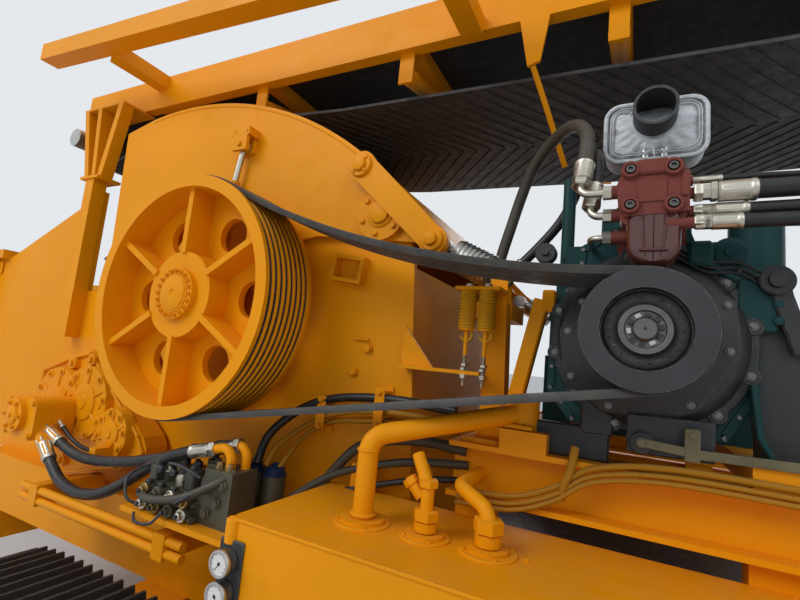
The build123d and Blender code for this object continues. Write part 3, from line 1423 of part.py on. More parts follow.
# Hydraulic pump on the gear housing: front cover with four bolt lobes, slim lower body, ports
pump_front_y = -990
pump_back_y = housing_front_y - 20
cover_outline = ((1123, 2138), (1119, 2195), (1135, 2242), (1173, 2261), (1225, 2260), (1259, 2242),
                 (1280, 2221), (1289, 2180), (1290, 2113), (1141, 2105))
left_port_x = 1105
right_port_x = 1303
elbow_reach = 105
left_ports = []
for name in ("hose_p1", "hose_p2"):
    end, beside = hose_rows[name][1][:2]
    left_ports.append(beyond(end, beside, elbow_reach))
left_ports.append((1048, -905, 2070))
right_ports = ((1352, -958, 2169), (1346, -950, 2122), (1336, -975, 2084), (1320, -900, 2226))
with BuildPart() as hydraulic_pump:
    with BuildSketch(xz_plane(pump_front_y + 35)):
        Polygon(*cover_outline, align=None)
        with Locations((1152, 2232), (1252, 2232), (1153, 2133), (1254, 2131)):
            Circle(22)
    extrude(amount=35)
    with BuildSketch(xz_plane(pump_back_y)):
        with Locations((1206, 2168)):
            RectangleRounded(158, 168, 30)
    extrude(amount=pump_back_y - pump_front_y - 15)
    with BuildSketch(xz_plane(pump_back_y - 45)):
        with Locations((1210, 2060)):
            RectangleRounded(122, 168, 55)
    extrude(amount=pump_back_y - pump_front_y - 55)
    with BuildSketch(xz_plane(housing_front_y)):
        with Locations((1208, 2085)):
            RectangleRounded(180, 100, 30)
    extrude(amount=housing_front_y - pump_back_y)
    for port_x, port_y, port_z in left_ports:
        with BuildSketch(Plane.YZ.offset(left_port_x)):
            with Locations((port_y, port_z)):
                Circle(19)
        extrude(amount=70)
    for port_x, port_y, port_z in right_ports:
        with BuildSketch(Plane.YZ.offset(right_port_x)):
            with Locations((port_y, port_z)):
                Circle(15)
        extrude(amount=-70)
hydraulic_pump.part.label = "hydraulic_pump"
export_step(hydraulic_pump.part, "parts/hydraulic_pump.step")

# Steel fittings of the pump: elbows with their nuts on the left, straight ones on the right
elbow_tubes = []
for name, port, ferrule_radius in (("hose_p1", left_ports[0], 27), ("hose_p2", left_ports[1], 24)):
    end, beside = hose_rows[name][1][:2]
    elbow_tubes.append(bar(end, beyond(end, beside, 52), ferrule_radius))
    elbow_tubes.append(bent_tube(((left_port_x, port[1], port[2]), port, end), 26, 11))
drain = left_ports[2]
drain_points = ((left_port_x, drain[1], drain[2]), drain, (drain[0], housing_front_y, drain[2]))
elbow_tubes.append(bent_tube(drain_points, 26, 9))
ferrule_rows = ((26, 82), (18, 72), (19, 66), (9, 50))
with BuildPart() as pump_fittings:
    for tube in elbow_tubes:
        add(tube)
    for port_x, port_y, port_z in left_ports:
        with BuildSketch(Plane.YZ.offset(left_port_x)):
            with Locations((port_y, port_z)):
                RegularPolygon(20, 6)
        extrude(amount=-22)
    for (port_x, port_y, port_z), (ferrule_radius, ferrule_length) in zip(right_ports, ferrule_rows):
        with BuildSketch(Plane.YZ.offset(right_port_x)):
            with Locations((port_y, port_z)):
                RegularPolygon(min(ferrule_radius, 21), 6)
        extrude(amount=port_x - right_port_x)
        with BuildSketch(Plane.YZ.offset(port_x)):
            with Locations((port_y, port_z)):
                Circle(ferrule_radius)
        extrude(amount=ferrule_length)
pump_fittings.part.label = "pump_fittings"
export_step(pump_fittings.part, "parts/pump_fittings.step")

# Pressure hoses from the pump to the manifold, held by a clamp block half way
clamp_x = 1750
held_hoses = []
manifold_left_x = manifold_x - 40
held_rows = zip(right_ports, ferrule_rows, (24, 17, 18, 8), (2185, 2137, 2078, 2208))
for port, ferrule, radius, end_z in held_rows:
    start_x = port[0] + ferrule[1]
    held_points = ((start_x, port[1], port[2]), (start_x + 90, port[1], port[2]),
                   (manifold_left_x - 150, port[1], end_z), (manifold_left_x, port[1], end_z))
    held_hoses.append(bent_tube(held_points, 1500, radius))
with BuildPart() as pump_hoses:
    for held in held_hoses:
        add(held)
    with BuildSketch(Plane.YZ.offset(clamp_x - 15)):
        with Locations((-945, 2140)):
            RectangleRounded(120, 190, 20)
    extrude(amount=30)
pump_hoses.part.label = "pump_hoses"
export_step(pump_hoses.part, "parts/pump_hoses.step")

# Hydraulic tank beside the frame, on brackets over the near track
tank_left_x = 195
tank_right_x = 1700
tank_front_y = -(half_width - 193)
tank_bottom_z = 800
tank_top_z = 1200
with BuildPart() as hydraulic_tank:
    with BuildSketch(Plane.XY.offset(tank_bottom_z)):
        with Locations(((tank_left_x + tank_right_x) / 2, (tank_front_y - rail_outer_y) / 2)):
            Rectangle(tank_right_x - tank_left_x, -rail_outer_y - tank_front_y)
    extrude(amount=tank_top_z - tank_bottom_z)
    fillet(hydraulic_tank.edges().filter_by(Axis.Z), 30)
hydraulic_tank.part.label = "hydraulic_tank"
export_step(hydraulic_tank.part, "parts/hydraulic_tank.step")

fuel_tank_length = 1700
fuel_tank_height = 440
with BuildPart() as fuel_tank:
    with BuildSketch(Plane.XY.offset(tank_bottom_z)):
        with Locations((tank_right_x - 800, (rail_outer_y - tank_front_y) / 2)):
            Rectangle(fuel_tank_length, -tank_front_y - rail_outer_y)
    extrude(amount=fuel_tank_height)
    fillet(fuel_tank.edges().filter_by(Axis.Z), 60)
fuel_tank.part.label = "fuel_tank"
export_step(fuel_tank.part, "parts/fuel_tank.step")

# Pipes on the tank top with their flanges: the suction pipe to its filter on the tie, the breather
# and the return pipe into the subframe
suction_filter = (870, -795)
tank_pipe_rows = (
    (30, 60, ((490, -1099), (490, -1099, 1440), (694, -950, 1494), (*suction_filter, 1540))),
    (18, 40, ((679, -1083), (679, -1083, 1330), (631, -1060, 1408))),
    (20, 45, ((848, -1066), (848, -1066, 1300), (740, -1000, 1332), (740, -subframe_web_y - 8, 1332))),
)
pipe_flange = 14
tank_tubes = []
for radius, bend, points in tank_pipe_rows:
    foot = (points[0][0], points[0][1], tank_top_z + pipe_flange)
    tank_tubes.append(bent_tube((foot, *points[1:]), bend, radius))
with BuildPart() as tank_pipes:
    for tube in tank_tubes:
        add(tube)
    for radius, bend, points in tank_pipe_rows:
        with BuildSketch(Plane.XY.offset(tank_top_z)):
            with Locations(points[0]):
                Circle(radius + 35)
        extrude(amount=pipe_flange)
    with BuildSketch(Plane.XY.offset(engine_bottom_z)):
        with Locations(suction_filter):
            Circle(44)
    extrude(amount=110)
tank_pipes.part.label = "tank_pipes"
export_step(tank_pipes.part, "parts/tank_pipes.step")

# Two round gauges on their plate at the tank's corner
gauge_radius = 34
with BuildPart() as pressure_gauges:
    with BuildSketch(xz_plane(tank_front_y)):
        with Locations((216, 1052)):
            RectangleRounded(84, 180, 38)
    extrude(amount=6)
    with BuildSketch(xz_plane(tank_front_y - 6)):
        with Locations((213, 1092), (213, 1012)):
            Circle(gauge_radius)
    extrude(amount=34)
pressure_gauges.part.label = "pressure_gauges"
export_step(pressure_gauges.part, "parts/pressure_gauges.step")

# Gear case of the infeed drive: a cast housing with two stepped covers
case_back_y = -infeed_inner_y - 50 - seat_gap
case_front_y = case_back_y - 110
case_outline = ((-1746, 1098), (-1800, 1250), (-1780, 1440), (-1527, 1529), (-1355, 1569), (-1250, 1500),
                (-1150, 1420), (-844, 1200), (-793, 1129), (-989, 1026), (-1464, 912))
with BuildPart() as infeed_gearbox:
    with BuildSketch(xz_plane(case_back_y)):
        Polygon(*case_outline, align=None)
    extrude(amount=110)
    fillet(infeed_gearbox.edges().filter_by(Axis.Y), 35)
    for cover_x, cover_z, cover_radius, cover_depth in ((-1530, 1270, 200, 45), (-1290, 1310, 185, 35),
                                                        (-1030, 1195, 125, 40)):
        with BuildSketch(xz_plane(case_front_y)):
            with Locations((cover_x, cover_z)):
                Circle(cover_radius)
        extrude(amount=cover_depth, taper=12)
    with BuildSketch(xz_plane(case_front_y)):
        with Locations((-1164, 1304), (-1161, 1150), (-950, 1224), (-1471, 1490), (-1309, 1520),
                       (-1640, 1130), (-1420, 1000)):
            Circle(30)
    extrude(amount=26)
    with BuildSketch(xz_plane(case_front_y)):
        with Locations((-1016, 1119)):
            Rectangle(46, 40)
    extrude(amount=case_front_y + 980)
    with BuildSketch(xz_plane(-infeed_inner_y - infeed_wall)):
        with Locations((chain_shaft_x, chain_shaft_z)):
            Circle(160)
            Circle(40 + seat_gap, mode=Mode.SUBTRACT)
    extrude(amount=-case_back_y - infeed_inner_y - infeed_wall)
infeed_gearbox.part.label = "infeed_gearbox"
export_step(infeed_gearbox.part, "parts/infeed_gearbox.step")

# Hydraulic motor of the infeed drive, with the fittings of its three hoses
motor_back_y = case_front_y - 45
motor_fittings = []
for name, fitting_radius, fitting_length in (("hose_a", 27, 150), ("hose_b", 27, 160), ("hose_c", 13, 70)):
    end, beside = hose_rows[name][1][:2]
    motor_fittings.append(bar(end, beyond(end, beside, fitting_length), fitting_radius))
with BuildPart() as infeed_motor:
    with BuildSketch(xz_plane(motor_back_y)):
        with Locations((-1455, 1225)):
            RectangleRounded(260, 200, 45)
    extrude(amount=motor_back_y + 1085)
    with BuildSketch(xz_plane(-1085)):
        with Locations((-1475, 1235)):
            Circle(80)
    extrude(amount=25)
    with BuildSketch(xz_plane(-950)):
        with Locations((-1360, 1215)):
            Rectangle(80, 70)
    extrude(amount=50)
    for fitting in motor_fittings:
        add(fitting)
infeed_motor.part.label = "infeed_motor"
export_step(infeed_motor.part, "parts/infeed_motor.step")

# Valve bank on its shelf, which stands on the near rail
shelf_z = 1016
shelf_top_z = shelf_z + 20
with BuildPart() as valve_shelf:
    with BuildSketch(Plane.XY.offset(shelf_z)):
        with Locations((-260, -940)):
            Rectangle(530, 400)
    extrude(amount=shelf_top_z - shelf_z)
    with BuildSketch(Plane.XY.offset(rail_top_z)):
        for leg_x in (-480, -110):
            with Locations((leg_x, -(rail_inner_y + rail_outer_y) / 2)):
                Rectangle(60, post_width)
    extrude(amount=shelf_z - rail_top_z)
valve_shelf.part.label = "valve_shelf"
export_step(valve_shelf.part, "parts/valve_shelf.step")

# Valve bank: stacked blocks with coils on the front and the top, and the two filters beside them
bank_front_y = -1085
bank_top_z = 1130
outlet_top_z = 1225
with BuildPart() as valve_bank:
    for block_x, block_width, block_top in ((-315, 290, bank_top_z), (-105, 130, outlet_top_z)):
        with BuildSketch(Plane.XY.offset(shelf_top_z)):
            with Locations((block_x, -1025)):
                Rectangle(block_width, 120)
        extrude(amount=block_top - shelf_top_z)
    with BuildSketch(xz_plane(bank_front_y)):
        for coil_z in (1062, 1108):
            for coil_x in (-425, -355, -285, -215):
                with Locations((coil_x, coil_z)):
                    Circle(22)
    extrude(amount=40)
    with BuildSketch(Plane.XY.offset(bank_top_z)):
        for coil_x in (-425, -350, -275):
            with Locations((coil_x, -1025)):
                Circle(28)
    extrude(amount=34)
    with BuildSketch(Plane.XY.offset(shelf_top_z)):
        with Locations((-48, -860), (-150, -860)):
            Circle(44)
    extrude(amount=150)
valve_bank.part.label = "valve_bank"
export_step(valve_bank.part, "parts/valve_bank.step")

# Steel tubes of the near side: two along the rail on their box posts, and the bent pipes between
# the hoses and the valve bank
outlet_pipes = []
for name, pipe_reach in (("hose_a", 100), ("hose_b", 145)):
    beside, end = hose_rows[name][1][-2:]
    corner = beyond(end, beside, pipe_reach)
    outlet_pipes.append(bent_tube((end, corner, (corner[0], corner[1], outlet_top_z)), 40, 17))
with BuildPart() as side_tubes:
    for tube_z in (945, 902):
        with BuildSketch(Plane.YZ.offset(-1300)):
            with Locations((-1090, tube_z)):
                Circle(17)
        extrude(amount=1080)
    for clamp_x in (-1180, -330):
        with BuildSketch(Plane.XY.offset(rail_top_z - 20)):
            with Locations((clamp_x, (-1110 - rail_outer_y) / 2)):
                Rectangle(60, 1110 - rail_outer_y)
        extrude(amount=90)
    for pipe in outlet_pipes:
        add(pipe)
side_tubes.part.label = "side_tubes"
export_step(side_tubes.part, "parts/side_tubes.step")
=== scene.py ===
import json
from math import atan2, cos, hypot, pi, radians, sin

import bmesh
import bpy
from mathutils import Matrix, Vector, noise


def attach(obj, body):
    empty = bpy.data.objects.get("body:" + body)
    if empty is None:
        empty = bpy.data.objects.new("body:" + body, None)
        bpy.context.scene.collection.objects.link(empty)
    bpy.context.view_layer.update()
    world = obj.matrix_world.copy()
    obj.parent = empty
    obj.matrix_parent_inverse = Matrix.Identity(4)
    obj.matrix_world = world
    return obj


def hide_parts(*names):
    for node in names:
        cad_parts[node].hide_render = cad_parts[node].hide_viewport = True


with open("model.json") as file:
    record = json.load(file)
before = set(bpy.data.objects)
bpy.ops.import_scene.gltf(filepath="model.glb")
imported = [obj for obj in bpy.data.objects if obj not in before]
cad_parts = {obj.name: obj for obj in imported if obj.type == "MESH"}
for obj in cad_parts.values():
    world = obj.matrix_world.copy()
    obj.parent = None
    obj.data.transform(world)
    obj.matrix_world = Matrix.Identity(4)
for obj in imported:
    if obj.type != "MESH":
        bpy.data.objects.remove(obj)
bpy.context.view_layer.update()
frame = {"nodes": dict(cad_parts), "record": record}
nodes = frame["nodes"]

# Colours, linear
YELLOW = (0.86, 0.32, 0.002, 1)
TEAL = (0.016, 0.060, 0.062, 1)
DARK = (0.022, 0.024, 0.027, 1)
PUMP_RED = (0.19, 0.052, 0.040, 1)
STEEL = (0.50, 0.49, 0.47, 1)
ZINC = (0.56, 0.53, 0.45, 1)
RUBBER = (0.028, 0.028, 0.03, 1)
HOSE = (0.012, 0.013, 0.014, 1)
OLIVE = (0.085, 0.08, 0.05, 1)
TRACK = (0.045, 0.04, 0.036, 1)
WORN = (0.24, 0.19, 0.15, 1)
BLUE = (0.012, 0.03, 0.09, 1)
SILVER = (0.66, 0.70, 0.73, 1)
GROUND_DUST = (0.33, 0.26, 0.18, 1)
RUBBER_DUST = (0.16, 0.14, 0.12, 1)
DIAL_WHITE = (0.72, 0.72, 0.70, 1)
BELT_GREY = (0.034, 0.032, 0.028, 1)
HOSE_BROWN = (0.055, 0.050, 0.036, 1)
OILED_STEEL = (0.16, 0.155, 0.15, 1)
GLOSSY_RED = (0.085, 0.018, 0.015, 1)
INK = (0.02, 0.02, 0.02, 1)
BRASS = (0.36, 0.26, 0.11, 1)
WORN_GREEN = (0.16, 0.14, 0.075, 1)
PIPE_PAINT = (0.40, 0.185, 0.012, 1)
SPRING_PAINT = (0.62, 0.30, 0.012, 1)
SPRING_STEEL = (0.52, 0.52, 0.50, 1)
FLOOR_DARKER = (0.70, 0.71, 0.72, 1)
FLOOR_LIGHTER = (0.76, 0.76, 0.76, 1)
SEEN_SKY = (0.78, 0.81, 0.84, 1)
LIGHT_SKY = (0.93, 0.96, 1.0, 1)


class Graph:
    """A material's node tree with short calls for the nodes that the finishes share."""

    def __init__(self, name):
        self.material = bpy.data.materials.new(name)
        self.material.use_nodes = True
        self.tree = self.material.node_tree
        self.shader = self.tree.nodes["Principled BSDF"]
        coordinates = self.tree.nodes.new("ShaderNodeTexCoord")
        self.place = coordinates.outputs["Object"]

    def add(self, kind, **settings):
        node = self.tree.nodes.new(kind)
        for key, value in settings.items():
            setattr(node, key, value)
        return node

    def link(self, source, target):
        self.tree.links.new(source, target)

    def noise(self, scale, detail=3.0, rough=0.55, stretch=None):
        node = self.add("ShaderNodeTexNoise")
        node.inputs["Scale"].default_value = scale
        node.inputs["Detail"].default_value = detail
        node.inputs["Roughness"].default_value = rough
        self.link(self.stretched(stretch), node.inputs["Vector"])
        return node.outputs["Fac"]

    def stretched(self, stretch):
        if stretch is None:
            return self.place
        node = self.add("ShaderNodeMapping")
        node.inputs["Scale"].default_value = stretch
        self.link(self.place, node.inputs["Vector"])
        return node.outputs["Vector"]

    def levels(self, value, low, high, to_low=0.0, to_high=1.0):
        node = self.add("ShaderNodeMapRange")
        for key, number in (("From Min", low), ("From Max", high), ("To Min", to_low), ("To Max", to_high)):
            node.inputs[key].default_value = number
        self.link(value, node.inputs["Value"])
        return node.outputs["Result"]

    def times(self, first, second):
        node = self.add("ShaderNodeMath", operation="MULTIPLY")
        self.link(first, node.inputs[0])
        self.link(second, node.inputs[1])
        return node.outputs["Value"]

    def mix(self, factor, first, second):
        node = self.add("ShaderNodeMix", data_type="RGBA")
        self.link(factor, node.inputs["Factor"])
        for socket, value in ((node.inputs[6], first), (node.inputs[7], second)):
            if isinstance(value, tuple):
                socket.default_value = value
            else:
                self.link(value, socket)
        return node.outputs[2]

    def edges(self, radius):
        """1 on edges tighter than the radius, 0 on flats."""
        bevel = self.add("ShaderNodeBevel", samples=4)
        bevel.inputs["Radius"].default_value = radius
        flat = self.add("ShaderNodeNewGeometry")
        dot = self.add("ShaderNodeVectorMath", operation="DOT_PRODUCT")
        self.link(bevel.outputs["Normal"], dot.inputs[0])
        self.link(flat.outputs["Normal"], dot.inputs[1])
        return self.levels(dot.outputs["Value"], 1.0, 0.88)

    def upward(self):
        """1 on faces that look up, 0 elsewhere."""
        flat = self.add("ShaderNodeNewGeometry")
        split = self.add("ShaderNodeSeparateXYZ")
        self.link(flat.outputs["Normal"], split.inputs[0])
        return self.levels(split.outputs["Z"], 0.4, 1.0)

    def bump(self, height, strength, distance, normal=None):
        node = self.add("ShaderNodeBump")
        node.inputs["Strength"].default_value = strength
        node.inputs["Distance"].default_value = distance
        self.link(height, node.inputs["Height"])
        if normal is not None:
            self.link(normal, node.inputs["Normal"])
        return node.outputs["Normal"]

    def color(self, value):
        if isinstance(value, tuple):
            self.shader.inputs["Base Color"].default_value = value
        else:
            self.link(value, self.shader.inputs["Base Color"])

    def rough(self, value, low, high):
        self.link(self.levels(value, 0.3, 0.7, low, high), self.shader.inputs["Roughness"])

    def normal(self, value):
        self.link(value, self.shader.inputs["Normal"])


def shade(color, factor):
    return tuple(channel * factor for channel in color[:3]) + (1.0,)


def paint(name, color, low=0.34, high=0.52, dust=0.10, wear=0.5, bare=(0.30, 0.13, 0.03, 1), gloss=0.12):
    """Sprayed paint: slow colour drift, dust on top faces, worn edges and a fine orange peel."""
    graph = Graph(name)
    slow = graph.noise(1.3, 4)
    patches = graph.noise(7.0, 6, 0.7)
    body = graph.mix(graph.levels(slow, 0.3, 0.7), shade(color, 0.90), color)
    body = graph.mix(graph.levels(patches, 0.58, 0.78, 0.0, 0.28), body, shade(color, 0.62))
    film = graph.levels(graph.noise(12.0, 5, 0.7), 0.35, 0.75, 0.0, dust)
    body = graph.mix(graph.times(graph.upward(), film), body, GROUND_DUST)
    chips = graph.levels(graph.noise(38.0, 4, 0.7), 0.50, 0.66, 0.0, wear)
    graph.color(graph.mix(graph.times(graph.edges(0.004), chips), body, bare))
    graph.rough(patches, low, high)
    graph.shader.inputs["Specular IOR Level"].default_value = gloss
    graph.shader.inputs["Coat Weight"].default_value = 0.02
    graph.shader.inputs["Coat Roughness"].default_value = 0.25
    fine = graph.bump(graph.noise(260.0, 2), 0.05, 0.002)
    graph.normal(graph.bump(graph.noise(9.0, 3), 0.06, 0.02, fine))
    return graph.material


def cast(name, color, rough=0.5, grain=0.25, metallic=0.0, edge=0.5, light=(0.28, 0.27, 0.26, 1)):
    """Painted or bare casting: pitted surface with lighter rubbed edges."""
    graph = Graph(name)
    patches = graph.noise(9.0, 6, 0.65)
    body = graph.mix(graph.levels(patches, 0.35, 0.7), shade(color, 0.72), shade(color, 1.15))
    chips = graph.levels(graph.noise(55.0, 4), 0.42, 0.62, 0.0, edge)
    graph.color(graph.mix(graph.times(graph.edges(0.003), chips), body, light))
    graph.rough(patches, rough - 0.1, rough + 0.12)
    graph.shader.inputs["Metallic"].default_value = metallic
    pits = graph.bump(graph.noise(170.0, 5, 0.7), grain, 0.003)
    graph.normal(graph.bump(graph.noise(26.0, 3), 0.12, 0.01, pits))
    return graph.material


def bare_metal(name, color, low=0.18, high=0.4, grime=0.5):
    """Machined or plated metal with grease in patches."""
    graph = Graph(name)
    patches = graph.noise(16.0, 6, 0.7)
    graph.color(graph.mix(graph.levels(patches, 0.45, 0.75, 0.0, grime), color, shade(color, 0.28)))
    graph.rough(patches, low, high)
    graph.shader.inputs["Metallic"].default_value = 1.0
    graph.normal(graph.bump(graph.noise(220.0, 3), 0.08, 0.002))
    return graph.material


def rubber(name, color, low=0.45, high=0.7, dusty=0.3):
    """Black rubber with scuffs and a film of dust."""
    graph = Graph(name)
    patches = graph.noise(14.0, 6, 0.7)
    graph.color(graph.mix(graph.levels(patches, 0.42, 0.8, 0.0, dusty), color, RUBBER_DUST))
    graph.rough(graph.noise(30.0, 4), low, high)
    graph.shader.inputs["Specular IOR Level"].default_value = 0.4
    graph.normal(graph.bump(graph.noise(330.0, 3), 0.12, 0.002))
    return graph.material


def foil_fabric():
    """Aluminised glass cloth: fine weave, crinkles with painted shade in their hollows, and a soft metal
    glare.
    """
    graph = Graph("silver_cloth")
    crinkle_and_shade = graph.noise(30.0, 6, 0.7, stretch=(1.0, 1.0, 2.2))
    # The colour follows the crinkles' height, so their hollows carry painted shade
    graph.color(graph.mix(graph.levels(crinkle_and_shade, 0.35, 0.7), shade(SILVER, 0.62), SILVER))
    graph.rough(crinkle_and_shade, 0.36, 0.62)
    graph.shader.inputs["Metallic"].default_value = 0.55
    weave = graph.add("ShaderNodeTexVoronoi")
    weave.inputs["Scale"].default_value = 520.0
    graph.link(graph.place, weave.inputs["Vector"])
    cloth = graph.bump(weave.outputs["Distance"], 0.25, 0.001)
    graph.normal(graph.bump(crinkle_and_shade, 0.5, 0.012, cloth))
    return graph.material


# The first fourteen are the slots' own finishes, the others belong to single pieces
FINISHES = {
    "machine_yellow": paint("yellow_paint", YELLOW),
    "engine_teal": paint("teal_paint", TEAL, 0.3, 0.5, 0.35, 0.4, (0.10, 0.12, 0.12, 1)),
    "dark_metal": cast("dark_casting", DARK, 0.5, 0.35, edge=0.6),
    "pump_red": paint("red_paint", PUMP_RED, 0.2, 0.38, 0.1, 0.35, (0.34, 0.10, 0.04, 1)),
    "steel": bare_metal("plain_steel", STEEL, 0.28, 0.5, 0.6),
    "chrome": bare_metal("zinc_plate", ZINC, 0.22, 0.4, 0.35),
    "track_steel": cast("track_casting", TRACK, 0.62, 0.5, 0.4, 0.8, (0.30, 0.27, 0.24, 1)),
    "wear_steel": cast("worn_steel", WORN, 0.5, 0.4, 0.6, 0.6, (0.45, 0.43, 0.40, 1)),
    "valve_olive": cast("valve_casting", OLIVE, 0.45, 0.3, 0.2, 0.7, (0.30, 0.28, 0.20, 1)),
    "filter_blue": paint("blue_paint", BLUE, 0.25, 0.4, 0.1, 0.2, (0.2, 0.2, 0.2, 1)),
    "belt_rubber": rubber("belt_rubber", RUBBER),
    "hose_rubber": rubber("hose_rubber", HOSE, 0.3, 0.5, 0.18),
    "jacket_fabric": foil_fabric(),
    "gauge_face": paint("dial_white", DIAL_WHITE, 0.2, 0.3, 0.0, 0.0),
    "belt_back": rubber("belt_back", BELT_GREY, 0.35, 0.55, 0.35),
    "hose_olive": rubber("hose_olive", HOSE_BROWN, 0.4, 0.6, 0.3),
    "zinc_plate": bare_metal("zinc_bright", ZINC, 0.26, 0.44, 0.35),
    "oiled_metal": bare_metal("oiled_metal", OILED_STEEL, 0.25, 0.45, 0.6),
    "pump_gloss": paint("red_gloss", GLOSSY_RED, 0.12, 0.24, 0.02, 0.2, (0.3, 0.1, 0.05, 1), gloss=0.8),
    "ink_black": rubber("ink_black", INK, 0.5, 0.6, 0.0),
    "old_brass": bare_metal("old_brass", BRASS, 0.35, 0.55, 0.7),
    "worn_olive": cast("worn_olive", WORN_GREEN, 0.45, 0.25, 0.3, 0.7, (0.34, 0.30, 0.2, 1)),
    "pipe_yellow": paint("pipe_paint", PIPE_PAINT, 0.4, 0.6, 0.4, 0.6, (0.12, 0.09, 0.04, 1)),
    "spring_yellow": paint("spring_paint", SPRING_PAINT, 0.3, 0.5, 0.2, 0.7),
    "spring_silver": bare_metal("spring_silver", SPRING_STEEL, 0.25, 0.4, 0.35),
}

# CAD nodes take the finish of their slot
slot_of = {part["node"]: part["material_slot"] for part in frame["record"]["subparts"]}
for node_name, node_object in nodes.items():
    node_object.data.materials.clear()
    node_object.data.materials.append(FINISHES[slot_of[node_name]])

# Directions and shapes shared by the pieces: the photo looks at the machine from its front, at -y
MM = 0.001
X_AXIS = Vector((1, 0, 0))
Y_AXIS = Vector((0, 1, 0))
Z_AXIS = Vector((0, 0, 1))
FRONT = -Y_AXIS
CORNER_STEPS = 8
BOW_STEPS = 6
FLUTES = 8
SLEEVE_ROWS = ((0, 0.90, 0), (0.03, 1.0, 0), (0.08, 1.0, 0), (0.12, 0.99, 1), (0.78, 0.99, 1),
               (0.82, 1.0, 0), (0.86, 1.06, 0), (0.95, 1.06, 0), (1.0, 0.96, 0))


def at(x, y, z):
    """Point in metres from millimetres."""
    return Vector((x, y, z)) * MM


def cross_frame(axis, up=None):
    """Side, up and along directions of a section square to an axis."""
    along = Vector(axis).normalized()
    if up is None:
        up = Z_AXIS if abs(along.z) < 0.9 else Y_AXIS
    side = Vector(up).cross(along).normalized()
    return side, along.cross(side), along


def ring_points(radius, count, start=0.0):
    """Points of a circle in a section, in millimetres."""
    return [(radius * cos(start + 2 * pi * step / count), radius * sin(start + 2 * pi * step / count))
            for step in range(count)]


def rectangle(width, height, cut):
    """Outline of a rectangle with its corners cut, in millimetres."""
    x, y = width / 2, height / 2
    return [(cut - x, -y), (x - cut, -y), (x, cut - y), (x, y - cut),
            (x - cut, y), (cut - x, y), (-x, y - cut), (-x, cut - y)]


def rounded_outline(width, height, radius):
    """Outline of a rectangle with round corners, from its right upper corner on, in millimetres."""
    outline = []
    for side_x, side_y, start in ((1, 1, 0), (-1, 1, 0.5 * pi), (-1, -1, pi), (1, -1, 1.5 * pi)):
        for step in range(CORNER_STEPS + 1):
            turn = start + 0.5 * pi * step / CORNER_STEPS
            outline.append((side_x * (width / 2 - radius) + radius * cos(turn),
                            side_y * (height / 2 - radius) + radius * sin(turn)))
    return outline


def scaled(profile, size):
    return [(reach * size, radius * size) for reach, radius in profile]


def bowed(points):
    """Round line through points, by Catmull and Rom's rule."""
    line = []
    ends = [2 * points[0] - points[1], *points, 2 * points[-1] - points[-2]]
    for before, start, end, after in zip(ends, ends[1:], ends[2:], ends[3:]):
        for step in range(BOW_STEPS):
            t = step / BOW_STEPS
            square = (2 * before - 5 * start + 4 * end - after) * t**2
            cube = (3 * start - before - 3 * end + after) * t**3
            line.append(0.5 * (2 * start + (end - before) * t + square + cube))
    return line + [points[-1]]


